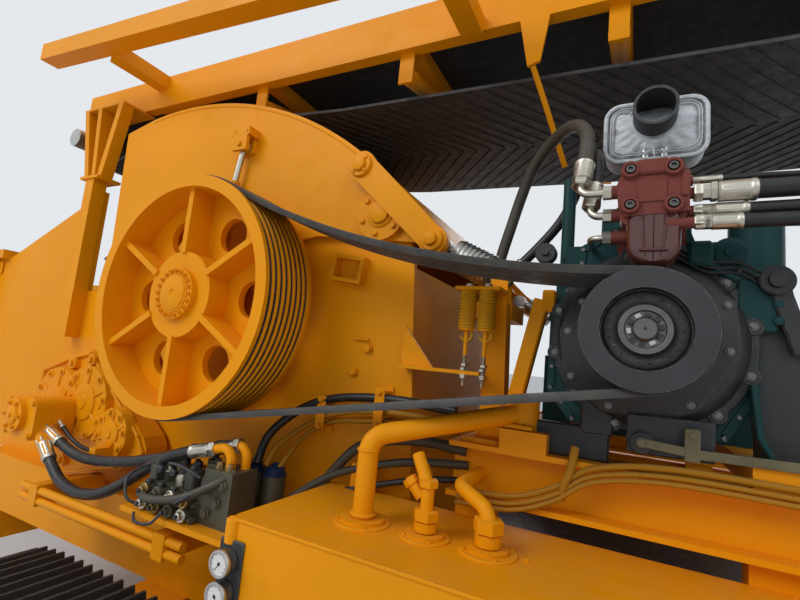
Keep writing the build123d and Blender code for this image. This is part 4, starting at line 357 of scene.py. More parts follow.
class Shape:
    """A mesh in the making. Each call adds one closed solid; section sizes are in millimetres."""

    def __init__(self):
        self.mesh = bmesh.new()

    def skin(self, rings, loop=False):
        following = rings[1:] + (rings[:1] if loop else [])
        for near, far in zip(rings, following):
            for index in range(len(near)):
                beside = (index + 1) % len(near)
                self.mesh.faces.new((near[index], near[beside], far[beside], far[index]))
        if not loop:
            self.mesh.faces.new(reversed(rings[0]))
            self.mesh.faces.new(rings[-1])

    def corners(self, places):
        return [self.mesh.verts.new(place) for place in places]

    def ring(self, centre, side, up, outline):
        return self.corners(centre + (side * x + up * y) * MM for x, y in outline)

    def turned(self, place, axis, profile, sides=24, start=0.0):
        """Solid of revolution: the profile's rows are the reach along the axis and the radius there."""
        side, up, along = cross_frame(axis)
        self.skin([self.ring(place + along * reach * MM, side, up, ring_points(radius, sides, start))
                   for reach, radius in profile])

    def block(self, place, axis, up, width, height, depth, cut=2.0):
        """Box that starts on a plane and has all its edges cut."""
        side, up, along = cross_frame(axis, up)
        outline, ends = rectangle(width, height, cut), rectangle(width - 2 * cut, height - 2 * cut, cut / 2)
        rows = ((0, ends), (cut, outline), (depth - cut, outline), (depth, ends))
        self.skin([self.ring(place + along * reach * MM, side, up, shape) for reach, shape in rows])

    def tube(self, points, radius, sides=10, loop=False):
        """Round bar along points in metres."""
        self.swept(points, ring_points(radius, sides), loop)

    def line(self, places, radius, sides=12):
        """Round bar bowed through places in millimetres."""
        self.tube(bowed([at(*place) for place in places]), radius, sides)

    def bar(self, places, outline, up=None):
        """A section carried straight from place to place, in millimetres."""
        self.swept([at(*place) for place in places], outline, up=up)

    def swept(self, points, outline, loop=False, up=None):
        """A section carried along points, without twist."""
        count = len(points)
        side = cross_frame(points[1] - points[0], up)[0]
        rings = []
        for index, point in enumerate(points):
            before = points[index - 1] if index or loop else point
            after = points[(index + 1) % count] if index + 1 < count or loop else point
            tangent = (after - before).normalized()
            side = (side - tangent * side.dot(tangent)).normalized()
            rings.append(self.ring(point, side, tangent.cross(side), outline))
        self.skin(rings, loop)

    def bolt(self, place, axis, size):
        """Hexagon head of a thread size on its washer, each head turned its own way."""
        turn = (place.x * 971 + place.z * 613) % 1.0
        self.turned(place, axis, scaled(((0, 1.08), (0.18, 1.08)), size), 18)
        self.turned(place, axis, scaled(((0.18, 0.866), (0.76, 0.866), (0.86, 0.72)), size), 6, turn)

    def bolts(self, places, axis, size):
        for place in places:
            self.bolt(place, axis, size)

    def socket_screw(self, place, axis, size):
        """Cap screw with its key socket."""
        profile = ((0, 0.75), (0.9, 0.75), (1, 0.66), (1, 0.44), (0.45, 0.40))
        self.turned(place, axis, scaled(profile, size), 14)

    def ferrule(self, place, axis, radius, length):
        """Crimped hose sleeve: a fluted barrel between two round collars."""
        side, up, along = cross_frame(axis)
        points = 6 * FLUTES
        rings = []
        for reach, scale, pressed in SLEEVE_ROWS:
            outline = []
            for step in range(points):
                turn = 2 * pi * step / points
                dent = 0.07 * pressed * (0.5 + 0.5 * cos(FLUTES * turn)) ** 3
                dented = radius * scale * (1 - dent)
                outline.append((dented * cos(turn), dented * sin(turn)))
            rings.append(self.ring(place + along * reach * length * MM, side, up, outline))
        self.skin(rings)

    def coil(self, low, high, radius, wire, turns, per_turn=16, sides=7):
        """Helical spring between two points."""
        side, up = cross_frame(high - low)[:2]
        steps = int(turns * per_turn)
        points = []
        for step in range(steps + 1):
            turn = 2 * pi * step / per_turn
            points.append(low.lerp(high, step / steps) + (side * cos(turn) + up * sin(turn)) * radius * MM)
        self.tube(points, wire, sides)


def make_piece(name, shape, slot, body="chassis", finish=None, stands_for=(), smooth_deg=38):
    """Scene object of a finished shape on its body, in its slot's finish unless another is named; the CAD
    nodes that it stands for are hidden.
    """
    mesh = bpy.data.meshes.new(name)
    bmesh.ops.recalc_face_normals(shape.mesh, faces=shape.mesh.faces)
    shape.mesh.to_mesh(mesh)
    shape.mesh.free()
    mesh.shade_smooth()
    mesh.set_sharp_from_angle(angle=radians(smooth_deg))
    mesh.materials.append(FINISHES[finish or slot])
    piece = bpy.data.objects.new(name, mesh)
    bpy.context.collection.objects.link(piece)
    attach(piece, body)
    if stands_for:
        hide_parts(*stands_for)
    return piece


def around(centre, axis, radius, count, start_deg=0.0):
    """Places of a bolt circle."""
    side, up = cross_frame(axis)[:2]
    for step in range(count):
        turn = radians(start_deg) + 2 * pi * step / count
        yield centre + (side * cos(turn) + up * sin(turn)) * radius * MM


def along_line(start, end, count):
    """Evenly spread places from one point to another."""
    return [start.lerp(end, step / (count - 1)) for step in range(count)]


# Free hoses: routes as in the source, in millimetres, after diameter, length and finish
HOSE_ROWS = {
    "hose_a": (46, 1093, "hose_rubber", (
        (-1231, -1010, 1140), (-1144, -1004, 1105), (-1028, -998, 1092), (-880, -992, 1104),
        (-713, -988, 1134), (-560, -986, 1173), (-420, -985, 1217), (-275, -986, 1262), (-170, -990, 1287))),
    "hose_b": (46, 1047, "hose_rubber", (
        (-1202, -1056, 1074), (-1127, -1064, 1027), (-1043, -1070, 994), (-939, -1074, 981),
        (-825, -1074, 991), (-724, -1070, 1026), (-633, -1064, 1077), (-547, -1056, 1136),
        (-453, -1048, 1196), (-350, -1042, 1242), (-243, -1040, 1268))),
    "hose_c": (20, 277, "hose_rubber", (
        (-1300, -972, 1196), (-1243, -968, 1160), (-1176, -965, 1133), (-1104, -963, 1118),
        (-1040, -963, 1120))),
    "hose_p1": (44, 1056, "hose_olive", (
        (1027, -925, 2285), (1032, -898, 2364), (1022, -854, 2436), (980, -760, 2515),
        (919, -672, 2540), (851, -593, 2521), (790, -534, 2468), (742, -488, 2371),
        (707, -480, 2248), (677, -480, 2139), (658, -480, 2050))),
    "hose_p2": (38, 883, "hose_rubber", (
        (1054, -890, 2228), (1059, -866, 2294), (1054, -825, 2355), (1038, -762, 2405),
        (1013, -673, 2429), (983, -574, 2402), (948, -506, 2333), (900, -480, 2255),
        (839, -480, 2180), (776, -482, 2111), (724, -484, 2058))),
}


def make_hose(name, diameter, length, finish, route):
    """Hanging hose with its cord, in the place of the CAD node of that name."""
    data = bpy.data.curves.new(f"{name}_line", "CURVE")
    data.dimensions = "3D"
    spline = data.splines.new("NURBS")
    spline.points.add(len(route) - 1)
    for point, place in zip(spline.points, route):
        point.co = (*at(*place), 1.0)
    spline.order_u = 3
    spline.use_endpoint_u = True
    spline.resolution_u = 12
    data.bevel_depth = diameter / 2 * MM
    data.bevel_resolution = 6
    data.use_fill_caps = True
    data.materials.append(FINISHES[finish])
    hose = bpy.data.objects.new(f"{name}_line", data)
    bpy.context.collection.objects.link(hose)
    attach(hose, "chassis")
    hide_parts(name)


for hose_name, hose_row in HOSE_ROWS.items():
    make_hose(hose_name, *hose_row)


# Drive belts: eight V-ribs joined by one back, on the source's line round both wheels
SHEAVE = (-500, 1850)
PULLEY = (1194.6, 1795)
SHEAVE_LINE = 500.3
PULLEY_LINE = 149.7
SHEAVE_FRONT = -1090
FIRST_GROOVE = SHEAVE_FRONT + 31
GROOVE_PITCH = 29
GROOVE_COUNT = 8
PULLEY_FACE = SHEAVE_FRONT
RIB_HALF = 11.6
RIB_TIP_HALF = 6.2
RIB_ROOT = 0.5
RIB_TIP = -15
BELT_BACK = 7


def belt_line():
    """Points of the belts' inner line with their outward directions, in X and Z."""
    run = PULLEY[0] - SHEAVE[0]
    fall = PULLEY[1] - SHEAVE[1]
    drop = fall + PULLEY_LINE
    slack = (run**2 + drop**2 - SHEAVE_LINE**2) / (2 * (SHEAVE_LINE - drop))
    slack_turn = atan2(drop + slack, run)
    taut_turn = atan2(fall, run) - pi / 2 + atan2(SHEAVE_LINE - PULLEY_LINE, hypot(run, fall))
    slack_centre = (PULLEY[0], SHEAVE[1] + drop + slack)
    arcs = (
        (SHEAVE, SHEAVE_LINE, slack_turn, taut_turn + 2 * pi, 1, 60),
        (PULLEY, PULLEY_LINE, taut_turn, pi / 2, 1, 30),
        (slack_centre, slack, 1.5 * pi, slack_turn + pi, -1, 24),
    )
    for centre, radius, start, end, out, steps in arcs:
        for step in range(steps + 1) if out > 0 else range(1, steps):
            turn = start + (end - start) * step / steps
            heading = (cos(turn), sin(turn))
            yield ((centre[0] + radius * heading[0], centre[1] + radius * heading[1]),
                   (out * heading[0], out * heading[1]))


def make_drive_belts():
    last_groove = FIRST_GROOVE + (GROOVE_COUNT - 1) * GROOVE_PITCH
    section = [(FIRST_GROOVE - RIB_HALF, BELT_BACK), (last_groove + RIB_HALF, BELT_BACK)]
    for groove in reversed(range(GROOVE_COUNT)):
        middle = FIRST_GROOVE + groove * GROOVE_PITCH
        section += [(middle + RIB_HALF, RIB_ROOT), (middle + RIB_TIP_HALF, RIB_TIP),
                    (middle - RIB_TIP_HALF, RIB_TIP), (middle - RIB_HALF, RIB_ROOT)]
    shape = Shape()
    rings = []
    for (x, z), (out_x, out_z) in belt_line():
        rings.append(shape.corners(at(x + out_x * height, y, z + out_z * height) for y, height in section))
    shape.skin(rings, loop=True)
    make_piece("ribbed_belts", shape, "belt_rubber", finish="belt_back", stands_for=("drive_belts",),
               smooth_deg=30)


make_drive_belts()


# Belt of the folded boom with its moulded chevrons, which are in metres
HINGE = (5300, 2900)
FOLD = radians(0.4)
HEAD_DRUM = (7410, -48, 119)
TAIL_DRUM = (420, 120, 94)
SNUB = (7000, 222)
SAG_ROWS = ((0.9, 20), (0.72, -70), (0.47, -110), (0.13, -50))
CHEVRON_STEPS = 10
CHEVRON_HALF = 0.009
CHEVRON_GAP = 0.012
CHEVRON_MARGIN = 0.02
CHEVRON_SUNK = -0.001


def boom_point(u, v, y):
    """Point of the folded boom: u runs from the hinge to the left, v is square to it."""
    return at(HINGE[0] - u * cos(FOLD) + v * sin(FOLD), y, HINGE[1] + v * cos(FOLD) + u * sin(FOLD))


def place_on(line, reaches, distance):
    """Point and direction at a distance along a polyline."""
    distance = min(max(distance, 0.0), reaches[-1] - 1e-6)
    index = 0
    while reaches[index + 1] < distance:
        index += 1
    share = (distance - reaches[index]) / (reaches[index + 1] - reaches[index])
    heading = (line[index + 1] - line[index]).normalized()
    return line[index].lerp(line[index + 1], share), heading


def make_chevrons(line, half_width, pitch, lead, height):
    """V-shaped ribs on the belt's outer side, which is on the left of the line's points."""
    reaches = [0.0]
    for start, end in zip(line, line[1:]):
        reaches.append(reaches[-1] + (end - start).length)
    section = ((-CHEVRON_HALF, CHEVRON_SUNK), (CHEVRON_HALF, CHEVRON_SUNK), (CHEVRON_HALF * 0.6, height),
               (-CHEVRON_HALF * 0.6, height))
    shape = Shape()
    distance = lead + CHEVRON_MARGIN
    while distance < reaches[-1] - CHEVRON_MARGIN:
        for side in (-1, 1):
            rings = []
            for step in range(CHEVRON_STEPS + 1):
                across = CHEVRON_GAP + (half_width - CHEVRON_GAP) * step / CHEVRON_STEPS
                back = lead * step / CHEVRON_STEPS
                places = []
                for shift, rise in section:
                    point, heading = place_on(line, reaches, distance - back + shift)
                    places.append(point + Y_AXIS.cross(heading) * rise + Y_AXIS * side * across)
                rings.append(shape.corners(places))
            shape.skin(rings)
        distance += pitch
    make_piece("boom_belt_chevrons", shape, "belt_rubber", "boom", smooth_deg=30)


def arc_points(centre, radius, start, end, count, make):
    """Points of an arc, made into places by a given function of two coordinates."""
    return [make(centre[0] + radius * cos(start + (end - start) * step / count),
                 centre[1] + radius * sin(start + (end - start) * step / count)) for step in range(count + 1)]


def boom_belt_line():
    """The boom belt's outer line from under the head drum, along the slack run, round the tail and back."""
    leave = radians(254)
    arrive = radians(71)

    def on_side(u, v):
        return boom_point(u, v, 0)

    line = [on_side(HEAD_DRUM[0] + HEAD_DRUM[2] * cos(leave), HEAD_DRUM[1] + HEAD_DRUM[2] * sin(leave))]
    run = HEAD_DRUM[0] - TAIL_DRUM[0]
    line += [on_side(TAIL_DRUM[0] + share * run, v) for share, v in SAG_ROWS]
    line += arc_points(TAIL_DRUM, TAIL_DRUM[2], 1.5 * pi, 0.5 * pi, 12, on_side)
    line.append(on_side(*SNUB))
    line += arc_points(HEAD_DRUM, HEAD_DRUM[2], arrive, leave - 2 * pi, 14, on_side)
    return line


make_chevrons(boom_belt_line(), half_width=0.54, pitch=0.078, lead=0.42, height=0.005)


# Sheave: cap screws of the locking ring and the shaft's end with its centre hole
LOCKING_RING_FACE = -1078
SHAFT_END = -1082


def make_sheave_details():
    shape = Shape()
    for place in around(at(SHEAVE[0], LOCKING_RING_FACE, SHEAVE[1]), FRONT, 92.5, 20):
        shape.socket_screw(place, FRONT, 11)
    end = at(SHEAVE[0], SHAFT_END, SHEAVE[1])
    shape.turned(end, FRONT, [(0, 70), (3, 70), (5, 67), (5, 16), (1, 12)], 40)
    make_piece("locking_screws", shape, "machine_yellow", "rotor")


# Hub of the drive pulley: rough cast web, flange, clamping ring with its segments and the shaft's end
def make_pulley_details():
    recess = at(PULLEY[0], PULLEY_FACE + 36, PULLEY[1])
    web = Shape()
    web.turned(recess, FRONT, [(0, 97), (3, 95), (5, 90), (5, 68), (2, 64)], 56)
    for place in around(recess, FRONT, 80, 22):
        web.block(place, FRONT, Z_AXIS, 9, 7, 8, 2)
    make_piece("pulley_web", web, "dark_metal", "drive_pulley")
    make_pulley_hub(recess)


def make_pulley_hub(recess):
    """Machined flange and shaft's end, with the clamping ring's segments between them."""
    hub = Shape()
    hub.turned(recess, FRONT, [(0, 62), (20, 62), (23, 59), (23, 46), (15, 44)], 48)
    hub.turned(recess + FRONT * 0.01, FRONT, [(0, 27), (24, 27), (27, 24), (27, 4), (24, 1)], 36)
    make_piece("pulley_hub", hub, "dark_metal", "drive_pulley", "oiled_metal")
    glinting, ring = Shape(), Shape()
    # Three of the ten segments are bright bare steel: painted highlight where glints fall on the ring
    for index, place in enumerate(around(recess + FRONT * 0.015, FRONT, 35, 10, 9)):
        outward = (place - recess - FRONT * 0.015).normalized()
        (glinting if index in (3, 5, 8) else ring).block(place, FRONT, outward, 15, 12, 10, 1.5)
    make_piece("clamping_ring", ring, "dark_metal", "drive_pulley")
    make_piece("glinting_segments", glinting, "steel", "drive_pulley", "spring_silver")


# Clutch housing: round flange with bolt lobes, conical case and a front plate with nine corners
CASE_X, CASE_Z = 1204, 1790
CASE_FLANGE_FACE = -781
CASE_PLATE_FACE = -836
PLATE_CORNERS = ((985, 1655), (969, 1804), (1010, 1905), (1100, 1975), (1290, 1975), (1412, 1905),
                 (1418, 1768), (1322, 1603), (1100, 1575))


def make_housing_details():
    case = Shape()
    centre = at(CASE_X, CASE_FLANGE_FACE, CASE_Z)
    cone = [(0, 266), (18, 266), (22, 262), (22, 246), (34, 243), (52, 222), (56, 216)]
    case.turned(centre, FRONT, cone, 80)
    lobes = list(around(centre, FRONT, 255, 12, 12))
    for place in lobes:
        case.turned(place, FRONT, [(0, 25), (24, 25), (27, 22)], 24)
    plate = [at(x, CASE_PLATE_FACE, z) for x, z in PLATE_CORNERS]
    middle = at(CASE_X, CASE_PLATE_FACE, CASE_Z)
    rings = [case.corners(corner + FRONT * reach for corner in plate) for reach in (-0.02, 0.004)]
    rings.append(case.corners(middle.lerp(corner, 0.985) + FRONT * 0.006 for corner in plate))
    case.skin(rings)
    make_piece("clutch_case", case, "dark_metal")
    make_housing_bolts(lobes, plate, middle)


def make_housing_bolts(lobes, plate, middle):
    bolts = Shape()
    bolts.bolts([place + FRONT * 0.027 for place in lobes], FRONT, 11)
    bolts.bolts([middle.lerp(corner, 0.90) + FRONT * 0.006 for corner in plate], FRONT, 10)
    make_piece("clutch_case_bolts", bolts, "dark_metal", finish="oiled_metal")


# Engine: screws and a raised rim along the gear housing's edge, cover screws, manifolds, filters and starter
GEAR_FACE = -780
GEAR_OUTLINE = ((1000, 1530), (1400, 1530), (1472, 1653), (1472, 1960), (1439, 2010), (1340, 2030),
                (1300, 2140), (1110, 2140), (1012, 2080), (1004, 1990), (930, 1890), (930, 1620))
ENGINE_LEFT = 930
ENGINE_RIGHT = 1430
FILTER_PLACE = (905, 1800)
STARTER_PLACE = (1500, 60, 1700)


def make_engine_details():
    rim, screws = Shape(), Shape()
    corners = [Vector((x, GEAR_FACE, z)) for x, z in GEAR_OUTLINE]
    middle = Vector((1200, GEAR_FACE, 1830))
    inset = [corner + (middle - corner).normalized() * 14 for corner in corners]
    for start, end in zip(inset, inset[1:] + inset[:1]):
        count = max(2, round((end - start).length / 70))
        screws.bolts([start.lerp(end, step / count) * MM for step in range(count)], FRONT, 8)
        rim.swept([start * MM, end * MM], rectangle(24, 8, 2), up=FRONT)
    for x in (1078, 1312):
        screws.bolts([at(x, y, 2230) for y in range(-540, 441, 140)], Z_AXIS, 7)
    for x, z, facing in ((ENGINE_LEFT, 1775, -X_AXIS), (ENGINE_RIGHT, 1655, X_AXIS)):
        screws.bolts([at(x, y, z) for y in range(-600, 521, 80)], facing, 7)
    make_piece("engine_screws", screws, "steel", finish="oiled_metal")
    for y in range(-560, 461, 170):
        rim.block(at(1059, y, 2110), -X_AXIS, Z_AXIS, 60, 80, 36, 8)
        rim.turned(at(1330, y, 2100), X_AXIS, [(0, 30), (60, 27), (64, 22)], 20)
        for x, z, facing in ((ENGINE_RIGHT, 1850, X_AXIS), (ENGINE_LEFT, 1890, -X_AXIS)):
            rim.turned(at(x, y, z), facing, [(0, 30), (5, 30), (5, 24), (2, 20)], 24)
    for x, z, radius in ((1395, 2100, 34), (1020, 2110, 30)):
        rim.tube(along_line(at(x, -600, z), at(x, 480, z), 3), radius, 18)
    make_piece("engine_castings", rim, "engine_teal")


def make_engine_filters():
    """Two spin-on filters under their heads, and the starter motor with its bracket."""
    parts = Shape()
    for y in (-250, -130):
        neck = at(FILTER_PLACE[0], y, FILTER_PLACE[1])
        parts.turned(neck, -Z_AXIS, [(0, 34), (8, 46), (120, 46), (132, 40), (136, 20)], 32)
        parts.turned(neck, Z_AXIS, [(0, 34), (24, 34)], 20)
        parts.block(at(932, y, 1810), -X_AXIS, Z_AXIS, 60, 40, 40, 5)
    starter = at(*STARTER_PLACE)
    parts.turned(starter, Y_AXIS, [(0, 52), (150, 52), (156, 44), (170, 30)], 32)
    parts.turned(starter, -Y_AXIS, [(0, 56), (18, 56), (26, 44), (40, 20)], 32)
    parts.block(at(ENGINE_RIGHT, 120, STARTER_PLACE[2]), X_AXIS, Z_AXIS, 120, 70, 40, 6)
    make_piece("engine_filters", parts, "dark_metal")


# Hydraulic pump: cap screws, raised pads and bolt lobes of its front cover, and the glossy lower barrel
PUMP_FRONT = -990
PUMP_LOBES = ((1152, 2232), (1252, 2232), (1153, 2133), (1254, 2131))
PUMP_X = 1204
BARREL_X, BARREL_Z = 1210, 2060
BARREL_ROWS = ((-848, 0), (-970, 0), (-981, 3), (-987, 9))


def make_pump_details():
    shape = Shape()
    for x, z in PUMP_LOBES:
        shape.socket_screw(at(x, PUMP_FRONT - 2, z), FRONT, 15)
    shape.bolts([at(x, PUMP_FRONT + 55, 2030) for x in (1165, 1256)], FRONT, 11)
    make_piece("pump_screws", shape, "pump_red", finish="oiled_metal")
    body = Shape()
    body.block(at(PUMP_X, PUMP_FRONT + 1, 2238), FRONT, Z_AXIS, 74, 42, 12, 5)
    body.block(at(PUMP_X, PUMP_FRONT + 1, 2172), FRONT, Z_AXIS, 70, 62, 5, 2)
    body.block(at(1280, PUMP_FRONT + 3, 2186), FRONT, Z_AXIS, 20, 70, 10, 4)
    for x, z in PUMP_LOBES:
        body.turned(at(x, PUMP_FRONT + 2, z), FRONT, [(0, 25), (14, 23), (16, 21), (16, 15), (6, 14)], 28)
    make_piece("pump_castings", body, "pump_red")


def make_pump_barrel():
    """Rounded lower housing with two curved ribs and a lip."""
    barrel = Shape()
    rings = []
    for y, inset in BARREL_ROWS:
        outline = rounded_outline(128 - 2 * inset, 174 - 2 * inset, 56)
        rings.append(barrel.ring(at(BARREL_X, y, BARREL_Z), X_AXIS, Z_AXIS, outline))
    barrel.skin(rings)
    for x in (1184, 1236):
        rib = ((x, -985, 2122), (x, -987, BARREL_Z), (x + (BARREL_X - x) * 0.3, -983, 1996))
        barrel.bar(rib, rectangle(8, 11, 3))
    barrel.block(at(BARREL_X, -985, 2012), FRONT, Z_AXIS, 70, 9, 9, 3)
    make_piece("pump_barrel", barrel, "pump_red", finish="pump_gloss")


# Hose ends: rows of place, radius and length, and of hose, radius and length
PUMP_PORTS = ((1352, -958, 2169, 26, 82), (1346, -950, 2122, 18, 72), (1336, -975, 2084, 19, 66),
              (1320, -900, 2226, 9, 50))
PUMP_PORT_FACE = 1300
MOTOR_SLEEVES = (("hose_a", 27, 150), ("hose_b", 27, 160), ("hose_c", 13, 70))
PUMP_SLEEVES = (("hose_p1", 27, 56), ("hose_p2", 24, 56))


def route_end(name, first):
    """First or last place of a hose's route and the direction out of it there."""
    route = HOSE_ROWS[name][3]
    end, beside = (at(*place) for place in (route[:2] if first else route[:-3:-1]))
    return end, (end - beside).normalized()


def make_pump_sleeves():
    """Crimped sleeves and hexagons of the hoses at the pump, and the hexagons of its ports."""
    shape = Shape()
    for x, y, z, radius, length in PUMP_PORTS:
        shape.ferrule(at(x, y, z), X_AXIS, radius + 1.2, length)
        shape.turned(at(x - 16, y, z), X_AXIS,
                     [(0, 0.9 * radius), (3, radius), (13, radius), (16, 0.9 * radius)], 6)
        shape.turned(at(PUMP_PORT_FACE, y, z), X_AXIS,
                     [(0, radius * 0.95), (4, radius), (16, radius), (20, 0.9 * radius)], 6, 0.4)
    for name, radius, length in PUMP_SLEEVES:
        end, outward = route_end(name, True)
        shape.ferrule(end + outward * length * MM, -outward, radius + 1.2, length + 10)
        shape.turned(end + outward * (length - 2) * MM, outward,
                     [(0, radius), (4, radius * 1.08), (20, radius * 1.08), (24, radius * 0.9)], 6)
    make_piece("pump_sleeves", shape, "chrome", finish="zinc_plate")


def make_hose_sleeves():
    """Crimped sleeves and hexagons of the motor's hoses, and sleeves of the pump hoses' lower ends."""
    shape = Shape()
    for name, radius, length in MOTOR_SLEEVES:
        end, outward = route_end(name, True)
        sleeve = min(0.6 * length, 3.4 * radius)
        shape.ferrule(end + outward * sleeve * MM, -outward, radius + 1.0, sleeve + 12)
        if radius > 20:
            shape.turned(end + outward * (sleeve + 2) * MM, outward,
                         [(0, radius * 1.02), (4, radius * 1.1), (24, radius * 1.1), (28, radius * 0.9)], 6)
    for name, radius in (("hose_a", 26), ("hose_b", 26)):
        end, outward = route_end(name, False)
        shape.ferrule(end + outward * 0.035, -outward, radius, 95)
        shape.turned(end + outward * 0.036, outward, [(0, 24), (4, 28), (24, 28), (28, 24)], 6)
    for name, radius in (("hose_p1", 26), ("hose_p2", 23)):
        end, outward = route_end(name, False)
        shape.ferrule(end + outward * 0.01, -outward, radius, 70)
    make_piece("hose_sleeves", shape, "chrome", finish="zinc_plate")


# Coil springs of the screen's hangers with hooks, nuts and threaded rods, and those of the hood's struts
SPRING_XS = (655, 722)
SPRING_Y = -790
STRUT_BASE = (740, 1995)
STRUT_PIN = (503, 2114)


def make_hanger_springs():
    shape = Shape()
    for x in SPRING_XS:
        shape.coil(at(x, SPRING_Y, 1792), at(x, SPRING_Y, 1926), 26.5, 4.8, 12)
        hook = [at(x + 20 * sin(turn), SPRING_Y, 1775 + 20 * cos(turn))
                for turn in [radians(deg) for deg in range(-30, 261, 15)]]
        shape.tube(hook, 4.5, 8)
    make_piece("hanger_springs", shape, "machine_yellow", finish="spring_yellow")


def make_hanger_nuts():
    """Nuts and threaded rods under the springs, and the nuts on top."""
    shape = Shape()
    for x in SPRING_XS:
        for z in (1652, 1666):
            shape.turned(at(x, SPRING_Y, z), Z_AXIS, [(0, 12), (2, 14), (10, 14), (12, 12)], 6, z * 0.1)
        shape.turned(at(x, SPRING_Y, 1640), -Z_AXIS, [(0, 18), (3, 18), (3, 14), (13, 14), (15, 12)], 6)
        thread = []
        for step in range(26):
            thread += [(step * 4.0, 7.2), (step * 4.0 + 2.0, 8.6)]
        shape.turned(at(x, SPRING_Y, 1602), Z_AXIS, thread, 12)
        shape.turned(at(x, SPRING_Y, 1942), Z_AXIS, [(0, 15), (10, 15), (12, 12)], 6)
    make_piece("hanger_nuts", shape, "steel", finish="zinc_plate")


def make_strut_coils():
    shape = Shape()
    base, pin = (Vector((x, 0, z)) for x, z in (STRUT_BASE, STRUT_PIN))
    along = (pin - base).normalized()
    for side in (-1, 1):
        middle = Vector((0, side * 685, 0))
        low, high = ((base + along * reach + middle) * MM for reach in (52, 201))
        shape.coil(low, high, 56.0, 8.0, 8, 28, 9)
    make_piece("strut_coils", shape, "steel", "spring_struts", "spring_silver")


# Pins, collars and bolts of the hood, its arms and lift cylinders, on both sides
HOOD_PIVOT = (257, 2238)
FEED_ROLLER = (-1360, 2110)
HOOD_BOSS_FACE = 782
HOOD_ARM_FACE = 807
HOOD_CLEVIS_FACE = 826


def make_hood_details():
    bolts, caps = Shape(), Shape()
    for side in (-1, 1):
        out = Y_AXIS * side
        pivot = at(HOOD_PIVOT[0], side * HOOD_BOSS_FACE, HOOD_PIVOT[1])
        caps.turned(pivot, out, [(0, 58), (4, 58), (6, 55), (6, 44), (16, 42), (18, 38)], 36)
        bolts.bolts(around(pivot, out, 84, 6, 20), out, 12)
        arm_top = at(158, side * HOOD_ARM_FACE, 2440)
        caps.turned(arm_top, out, [(0, 50), (10, 50), (14, 46), (14, 30), (26, 28), (28, 24)], 36)
        bolts.bolts(around(arm_top + out * 0.013, out, 38, 4, 45), out, 8)
        arm_low = at(STRUT_PIN[0], side * HOOD_ARM_FACE, STRUT_PIN[1])
        caps.turned(arm_low, out, [(0, 44), (12, 44), (16, 40), (16, 26), (30, 24), (32, 20)], 36)
        bolts.bolt(arm_low + out * 0.02, out, 9)
        roller = at(FEED_ROLLER[0], side * HOOD_BOSS_FACE, FEED_ROLLER[1])
        bolts.bolts(around(roller, out, 78, 6), out, 12)
        bolts.bolt(at(-535, side * HOOD_CLEVIS_FACE, 2618), out, 16)
        bolts.bolts([at(x, side * HOOD_CLEVIS_FACE, 2683) for x in (-574, -496)], out, 9)
    make_piece("hood_bolts", bolts, "machine_yellow", "hood")
    make_piece("hood_caps", caps, "machine_yellow", "hood")


def circle_through(first, middle, last):
    """Centre and radius of the circle through three points in a plane."""
    (ax, ay), (bx, by), (cx, cy) = first, middle, last
    double = 2 * (ax * (by - cy) + bx * (cy - ay) + cx * (ay - by))
    sums = [x * x + y * y for x, y in (first, middle, last)]
    x = (sums[0] * (by - cy) + sums[1] * (cy - ay) + sums[2] * (ay - by)) / double
    y = (sums[0] * (cx - bx) + sums[1] * (ax - cx) + sums[2] * (bx - ax)) / double
    return (x, y), hypot(ax - x, ay - y)


CROWN = ((-1327, 2904), (-427, 2822), (470, 2166))
HOOD_FACE = 759


def make_weld_beads():
    """Welds along the hood's crown and round the bosses of its pivot and feed roller."""
    shape = Shape()
    centre, radius = circle_through(*CROWN)
    start, end = (atan2(z - centre[1], x - centre[0]) for x, z in (CROWN[2], CROWN[0]))
    for side in (-1, 1):
        crown = arc_points(centre, radius - 17, start, end, 60, lambda x, z: at(x, side * HOOD_FACE, z))
        shape.tube(crown, 5, 6)
        for boss, reach in ((HOOD_PIVOT, 111), (FEED_ROLLER, 96)):
            shape.tube(arc_points(boss, reach, 0, 2 * pi - 0.15, 40,
                                  lambda x, z: at(x, side * (HOOD_FACE + 3), z)), 5, 6, True)
    make_piece("hood_welds", shape, "machine_yellow", "hood")


make_sheave_details()
make_pulley_details()
make_housing_details()
make_engine_details()
make_engine_filters()
make_pump_details()
make_pump_barrel()
make_pump_sleeves()
make_hose_sleeves()
make_hanger_springs()
make_hanger_nuts()
make_strut_coils()
make_hood_details()
make_weld_beads()


# Two pressure gauges: steel bezel, glass rim, white dial with ticks and a needle
GAUGE_PLACES = ((213, 1092, 215), (213, 1012, 145))
GAUGE_FACE_Y = -1347
TICK_COUNT = 40
TICKS_PER_NUMBER = 5
DIAL_SWEEP = 270


